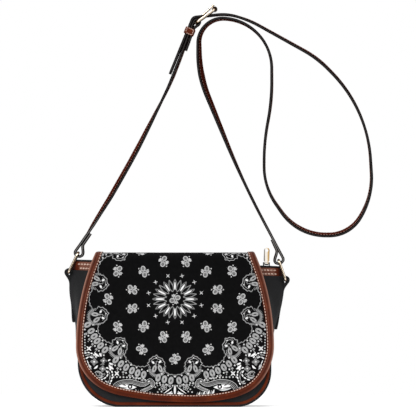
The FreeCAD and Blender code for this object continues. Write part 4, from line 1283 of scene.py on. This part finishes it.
def strapPiece(name, route, twist, tipStart=False):
    # A painted highlight runs along the middle of each edge, brighter where the strap turns round its ring:
    # at its start, or at its end if the start is a tip.
    route, at = evenly(route, strap["step"])
    fromRing = at[-1] - at if tipStart else at
    gleam = strap["gleam"] + strap["ringPaintedGleam"] * (1 - smoothStep(fromRing, *strap["gleamEnd"]))
    place = strapPoint(route, twist(at[-1]), at)
    w, h, r = strap["width"] / 2, strap["thick"] / 2, strap["round"]
    corner = sectionCorner(w, h, r)
    top = np.linspace(w - r, r - w, 9)[1:-1]
    half = np.concatenate([corner, np.stack([top, np.full(len(top), h)], -1), (corner * [-1, 1])[::-1]])
    profile = np.concatenate([half, [(-w, 0)], -half, [(w, 0)]])[None]
    narrow = roundOff(at / strap["tip"], 2.4, 0.004) if tipStart else np.ones(len(at))
    points = place(at[:, None], profile[..., 0] * narrow[:, None], profile[..., 1])
    edge = np.broadcast_to(np.abs(profile[..., 0]) / w, (len(at) + 2, profile.shape[1]))
    paintedShine = (profile[..., 1] == 0) * endsTwice(gleam)[:, None]
    piece = carried(name, points, finishes["strapLeather"], marks={"edge": edge, "paintedShine": paintedShine})
    rows = []
    places = np.arange(strap["rowStart"], at[-1] - strap["rowStart"], strap["pitch"])
    ways = np.tile([1.0, 0.0], (len(places), 1))
    for face in (-1, 1):
        for side in (-1, 1):
            centres = np.stack([places, np.full(len(places), side * strap["row"])], -1)
            label = name + "Row" + "ab"[face > 0] + "ab"[side > 0]
            rows.append(stitchRow(label, centres, ways, place, face * (h - strap["rowSunk"]), strap["dash"]))
    return piece, rows


longRoute = {       # from the tail to above the right ring
    "points": [
        (-5.6, 354.2), (19.01, 414.87), (55.92, 418.8), (79.4, 411.9), (152.4, 371.4), (205.6, 316.6),
        (211.2, 224.4), (186.6, 182.3), (131.0, 182.5), (95.1, 233.4), (95.1, 281.5), (103.4, 326.2),
        (103.0, 413.8), (25.0, 413.5), (25.9, 352.8), (71.9, 240.0),
    ],
    "shares": [0.0861, 0.45, 0.5, 0.22, 0.7, 0.5, 0.46, 0.54, 0.46, 0.45, 0.45, 0.68, 0.43, 0.4, 0.5],
    "rolls": [0, 0, 0.01, 0.06, 0.10, 0.045, -0.03, -0.14, -0.14,
              -0.02, -0.02, -0.05, -0.01, 0.10, 0.26, 0.02, 0.01, 0],
    "rollEnd": 45.0,
}
shortRoute = {
    "knee": (-31.82, 282.32), "share": 0.45, "back": 33.0,
    "rollAt": [0, 58, 72, 96, 112, 164, 190, 214, 228, 252],
    "rolls": [0, 0, 0.10, 0.15, 0.18, 0.18, 0.13, 0.05, 0.0, -0.06, -0.04, 0],
    "rollEnd": 60.0,
}
# Wire frames: the buckle's two bars, then half width, wire radius and corner radius of all
rings = {"heel": (23.19, 409.55), "far": (42.28, 423.42), "half": 12.5, "wire": 1.5, "corner": 3.2}
for label, node in (("left", "ring_left"), ("right", "ring_right")):
    low, high = (np.array(corner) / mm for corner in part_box(node))
    barX = low[0] + rings["wire"] if label == "left" else high[0] - rings["wire"]
    rings[label + "Bar"] = (barX, low[2] + rings["wire"])
    if label == "left":
        rings["leftEye"] = (high[0] - rings["wire"], high[2] - rings["wire"])
rings["rightEye"] = (110.6, 155.4)      # read from the photo, a little off the CAD's


def unit(a, b):
    # Direction from a to b.
    way = np.asarray(b, float) - np.asarray(a, float)
    return way / np.linalg.norm(way)


def crossed(a, b):
    # Cross product in the plane.
    return a[0] * b[1] - a[1] * b[0]


endWay = unit(longRoute["points"][-1], rings["rightEye"])
endIn = -leftOf(endWay)
longEnd = np.array(rings["rightEye"]) - endIn * (strap["turn"] + strap["rightSlack"])
longPath, longCorners = roundedRoute(longRoute["points"] + [tuple(longEnd)], longRoute["shares"])
ringTurn = barTurn(rings["rightEye"], -endWay, endIn, taper=11.0, outer=strap["rightSlack"], slack=1.2)
longPath = np.concatenate([longPath, ringTurn[1:]])

lowWay, highWay = unit(rings["leftEye"], shortRoute["knee"]), unit(shortRoute["knee"], rings["heel"])
lowIn, highIn = -leftOf(lowWay), -leftOf(highWay)
lowStart = np.array(rings["leftEye"]) - lowIn * (strap["turn"] + strap["leftSlack"])
highEnd = np.array(rings["heel"]) - highIn * strap["turn"]
bendPoint = lowStart + lowWay * crossed(highEnd - lowStart, highWay) / crossed(lowWay, highWay)
ringTurn = barTurn(rings["leftEye"], lowWay, lowIn, taper=10.0, outer=strap["leftSlack"], slack=1.9)
shortPath = np.concatenate([
    ringTurn[:0:-1],
    roundedRoute([lowStart, bendPoint, highEnd], [shortRoute["share"]])[0],
    barTurn(rings["heel"], -highWay, highIn, back=shortRoute["back"])[1:],
])
shortPath = evenly(shortPath, strap["step"])[0]
shortPath[:, 0] += np.interp(shortPath[:, 1], strap["bowHeights"], strap["bow"])


def twistLong(total):
    # The roll at the tail, at each corner of the route and at the ring.
    return [0, *longCorners, total - longRoute["rollEnd"], total], longRoute["rolls"]


def twistShort(total):
    # The roll from the ring up to the buckle.
    return [*shortRoute["rollAt"], total - shortRoute["rollEnd"], total], shortRoute["rolls"]


strapLong, longRows = strapPiece("strapLong", longPath, twistLong, tipStart=True)
strapShort, shortRows = strapPiece("strapShort", shortPath, twistShort)
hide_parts("strap_long")
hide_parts("strap_short")
for piece in [strapLong, strapShort] + longRows + shortRows:
    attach(piece, "strap")
print("strap made")


# Wire frames: a round wire carried along a rounded rectangle

def wireFrame(name, node, bodyName, bar, eye):
    bar, eye = np.asarray(bar, float), np.asarray(eye, float)
    way, length = unit(bar, eye), np.linalg.norm(eye - bar)
    w, r = rings["half"], rings["corner"]
    a = np.linspace(0, math.pi / 2, 10)
    quarter = np.stack([np.cos(a), np.sin(a)], -1) * r
    corners = [(length - r, w - r, 0), (r, w - r, 1), (r, r - w, 2), (length - r, r - w, 3)]
    path = np.concatenate([turned(quarter, k * math.pi / 2) + [x, y] for x, y, k in corners])
    closedPath = np.concatenate([path, path[:1]])
    path = evenly(closedPath, 1.0)[0][:-1]
    heading = np.roll(path, -1, 0) - np.roll(path, 1, 0)
    heading /= np.linalg.norm(heading, axis=1, keepdims=True)
    side = leftOf(heading)
    b = np.linspace(0, 2 * math.pi, 20, endpoint=False)
    flat = path[:, None] + side[:, None] * (rings["wire"] * np.cos(b))[None, :, None]
    rise = np.broadcast_to(rings["wire"] * np.sin(b), flat.shape[:2])
    xz = bar + way * flat[..., :1] + leftOf(way) * rise[..., None]
    points = np.stack([xz[..., 0], flat[..., 1], xz[..., 1]], -1)
    piece = makePiece(name, points, gridFaces(*points.shape[:2], True, True), finishes["paleGold"])
    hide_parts(node)
    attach(piece, bodyName)


wireFrame("ringLeft", "ring_left", "ring_left", rings["leftBar"], rings["leftEye"])
wireFrame("ringRight", "ring_right", "ring_right", rings["rightBar"], rings["rightEye"])
wireFrame("buckleFrame", "buckle_frame", "strap", rings["heel"], rings["far"])


# Side tabs: a leather strip that lies on the gusset, rises round the ring's bar and comes back down

tab = {
    "width": 15.0, "thick": 1.25, "round": 0.45, "long": 54.4, "foot": 0.8, "stand": 6.6, "loop": 3.4,
    "pad": 1.6, "padFrom": (-11.0, -4.0), "heel": {-1: 2.6, 1: 2.0}, "heelRise": 24.0, "tip": 2.4,
    "sagFrom": (1.0, 8.0), "step": 0.8, "soft": 3,
    # Out from the gusset and up from the bar, before the turn and after it
    "rise": [(0.8, -19), (0.9, -10.5), (2.4, -6.6), (6.0, -4.0), (8.6, -1.8)],
    "fall": [(4.0, -2.4), (2.4, -5.0), (0.9, -8.5), (0.0, -19)],
}


def sideTab(label, side):
    # A flat section carried up the gusset, round the bar and down again; padded at its heel and at the bar.
    tilt = math.atan(body["flare"][side] / body["rise"])
    bar = np.array(rings[label + "Bar"]) * [side, 1]
    out = np.array([math.cos(tilt), -math.sin(tilt)])
    up = np.array([math.sin(tilt), math.cos(tilt)])
    base = bar - out * tab["stand"]
    a = np.linspace(0, math.pi, 24)
    ring = np.stack([tab["stand"] + tab["loop"] * np.cos(a), tab["loop"] * np.sin(a)], -1)
    local = np.concatenate([[(tab["foot"], -tab["long"])], tab["rise"], ring, tab["fall"]])
    route, at = evenly(base + local[:, :1] * out + local[:, 1:] * up, tab["step"])
    route[:, 0] += sideBulge(side, route[:, 1]) * smoothStep(bar[1] - route[:, 1], *tab["sagFrom"])
    route = np.stack([smoothed(route[:, k], tab["soft"]) for k in (0, 1)], -1)
    normal = leftOf(headings(route))
    w, h = tab["width"] / 2, tab["thick"] / 2
    corner = sectionCorner(w, h, tab["round"])
    half = np.concatenate([corner, (corner * [-1, 1])[::-1]])
    profile = np.concatenate([half, -half])[None]
    narrow = roundOff(at / w, 2, 0.01)
    rise = smoothStep(route[:, 1] - route[0, 1], 0, tab["heelRise"])
    heel = tab["heel"][side] * (1 - rise) * (at < tab["heelRise"])
    route[:, 0] += heel / 2
    swell = 1 + tab["pad"] * smoothStep(route[:, 1] - bar[1], *tab["padFrom"]) + heel / tab["thick"]
    swell *= roundOff(at / tab["tip"], 2, 0.02)
    flat = route[:, None] + normal[:, None] * profile[..., 1:] * swell[:, None, None]
    points = np.stack([side * flat[..., 0], profile[..., 0] * narrow[:, None], flat[..., 1]], -1)
    piece = carried("sideTab" + label.title(), points, finishes["blackLeather"])
    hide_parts("side_tab_" + label)
    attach(piece, "bag")


sideTab("left", -1)
sideTab("right", 1)


# Keeper: a leather band round the tail and the short strap

keeper = {
    "long": 7.2, "wall": 1.3, "drop": 12.0, "low": -7.55, "high": 1.05, "half": 9.8,
    "square": 0.25, "endSquare": 0.4, "wallSquare": 0.6,        # less is squarer
    "row": (2.9, -6.9, 0.4), "rowLift": 0.05, "pitch": 1.9,     # half length, low and high line
    "dash": {"length": 1.5, "width": 0.9, "high": 0.4},
}


def keeperBand():
    # A rounded rectangle round the strap, carried along its length with soft edges.
    k = keeper
    middle = (k["low"] + k["high"]) / 2
    tall = (k["high"] - k["low"]) / 2
    centre = np.array(rings["heel"]) - highWay * k["drop"]
    a = np.linspace(0, 2 * math.pi, 80, endpoint=False)[:, None]
    b = np.linspace(0, 2 * math.pi, 16, endpoint=False)[None, :]
    off = k["wall"] / 2 * (1 + squared(np.sin(b), k["wallSquare"]))
    x = k["long"] / 2 * squared(np.cos(b), k["endSquare"]) + 0 * a
    y = squared(np.cos(a), k["square"]) * (k["half"] + off)
    n = middle + squared(np.sin(a), k["square"]) * (tall + off)
    flat = centre + x[..., None] * highWay + n[..., None] * highIn
    points = np.stack([flat[..., 0], y, flat[..., 1]], -1)
    faces = gridFaces(*points.shape[:2], True, True)
    piece = makePiece("strapKeeper", points, faces, finishes["brownLeather"])
    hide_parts("strap_keeper")
    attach(piece, "keeper")

    def keeperFace(u, v, h):
        face = centre + u[..., None] * highWay + v[..., None] * highIn
        return np.stack([face[..., 0], -(k["half"] + k["wall"] + h) + 0 * u, face[..., 1]], -1)
    end, low, high = k["row"]
    edge = np.array([(-end, low), (end, low), (end, high), (-end, high), (-end, low)])
    places = dashPlaces(evenly(edge, 0.2)[0], k["pitch"])
    stitches = stitchRow("keeperStitch", *places, keeperFace, k["rowLift"], k["dash"])
    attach(stitches, "keeper")


keeperBand()
print("metal and leather fittings made")


# CAD pieces that stay, with the looks of what they are

kept = {
    "zip_teeth_front": "paleGold", "zip_teeth_back": "paleGold",
    "zip_slider": "blackMetal", "zip_pull": "pullGold", "base_board": "fibreBoard",
    "magnet_socket": "snapSteel", "magnet_washer": "snapSteel", "magnet_stud": "snapSteel",
    "buckle_roller": "paleGold", "buckle_prong": "paleGold",
}
for node, name in kept.items():
    mesh = nodes[node].data
    mesh.materials.clear()
    mesh.materials.append(finishes[name])
print("kept nodes finished:", len(kept))


# Studio: pale floor that fades out, white backdrop, soft lamps

studio = {
    "lamps": {      # place, what it is turned to, size and power
        "keyLamp": ((-0.9, -1.5, 1.3), (0.02, 0, 0.15), 1.1, 30.0),
        "fillLamp": ((1.3, -1.3, 0.8), (0.02, 0, 0.15), 1.2, 5.5),
        "topLamp": ((0.0, 0.3, 1.7), (0.02, 0, 0.1), 1.2, 12.0),
    },
    "sky": 0.42,
}
scene = bpy.context.scene


def softLamp(name, place, target, size, power):
    # A round lamp turned to its target.
    lamp = bpy.data.lights.new(name, "AREA")
    lamp.shape = "DISK"
    lamp.size = size
    lamp.energy = power
    holder = bpy.data.objects.new(name, lamp)
    scene.collection.objects.link(holder)
    holder.location = place
    way = np.asarray(target, float) - np.asarray(place, float)
    tip = math.acos(-way[2] / np.linalg.norm(way))
    holder.rotation_euler = (tip, 0, math.atan2(way[1], way[0]) - math.pi / 2)


for name, lamp in studio["lamps"].items():
    softLamp(name, *lamp)

world = bpy.data.worlds.new("studioSky")
scene.world = world
world.use_nodes = True
tree = world.node_tree
back = tree.nodes["Background"]
back.inputs[0].default_value = (1, 1, 1, 1)
back.inputs[1].default_value = studio["sky"]
white = addNode(tree, "Background", {"Color": (1, 1, 1, 1), "Strength": 1.0})
path = addNode(tree, "LightPath").outputs
seen = mathResult(tree, "MAXIMUM", path["Is Camera Ray"], path["Is Glossy Ray"])
seen = mathResult(tree, "MAXIMUM", seen, path["Is Transmission Ray"])
blend = addNode(tree, "MixShader", {0: seen, 1: back.outputs[0], 2: white.outputs[0]})
tree.links.new(blend.outputs[0], tree.nodes["World Output"].inputs[0])

ground = {
    "radius": 0.7, "rings": 30, "spokes": 64, "below": -0.0004, "speck": 500.0,
    "stops": [(0.3, (0.93, 0.93, 0.93)), (0.8, (0.96, 0.96, 0.96))],
    "rough": 0.9, "glow": 0.52, "specular": 0.1, "fade": (0.14, 0.42),
}
ringsOut = np.linspace(0, ground["radius"], ground["rings"])[:, None]
around = np.linspace(0, 2 * math.pi, ground["spokes"], endpoint=False)[None, :]
floorPoints = np.stack(alike(ringsOut * np.cos(around), ringsOut * np.sin(around), ground["below"]), -1) / mm
floorStuff = bpy.data.materials.new("paleFloor")
floorStuff.use_nodes = True
tree = floorStuff.node_tree
main = tree.nodes["Principled BSDF"]
place = addNode(tree, "TexCoord").outputs["Object"]
speck = addNode(tree, "TexNoise", {"Vector": place, "Scale": ground["speck"]}).outputs[0]
tree.links.new(ramp(tree, speck, ground["stops"]), main.inputs["Base Color"])
main.inputs["Roughness"].default_value = ground["rough"]
main.inputs["Emission Color"].default_value = (1, 1, 1, 1)
main.inputs["Emission Strength"].default_value = ground["glow"]
main.inputs["Specular IOR Level"].default_value = ground["specular"]
far = addNode(tree, "VectorMath", {0: place}, operation="LENGTH").outputs["Value"]
near, gone = ground["fade"]
links = {"Value": far, "From Min": near, "From Max": gone, "To Min": 1.0, "To Max": 0.0}
fade = addNode(tree, "MapRange", links, interpolation_type="SMOOTHSTEP")
tree.links.new(fade.outputs[0], main.inputs["Alpha"])
faces = gridFaces(ground["rings"], ground["spokes"], wrapCols=True)
floor = makePiece("floor", floorPoints, faces, floorStuff)

view = {"place": (0.0351, -6.04, 0.2112), "far": 6.0, "across": 0.4418, "sensor": 36.0}
lens = bpy.data.cameras.new("camera")
lens.sensor_width = view["sensor"]
lens.lens = view["sensor"] * view["far"] / view["across"]
camera = bpy.data.objects.new("camera", lens)
scene.collection.objects.link(camera)
camera.location = view["place"]
camera.rotation_euler = (math.pi / 2, 0, 0)
scene.camera = camera
scene.view_settings.view_transform = "Standard"

print("scene ready")
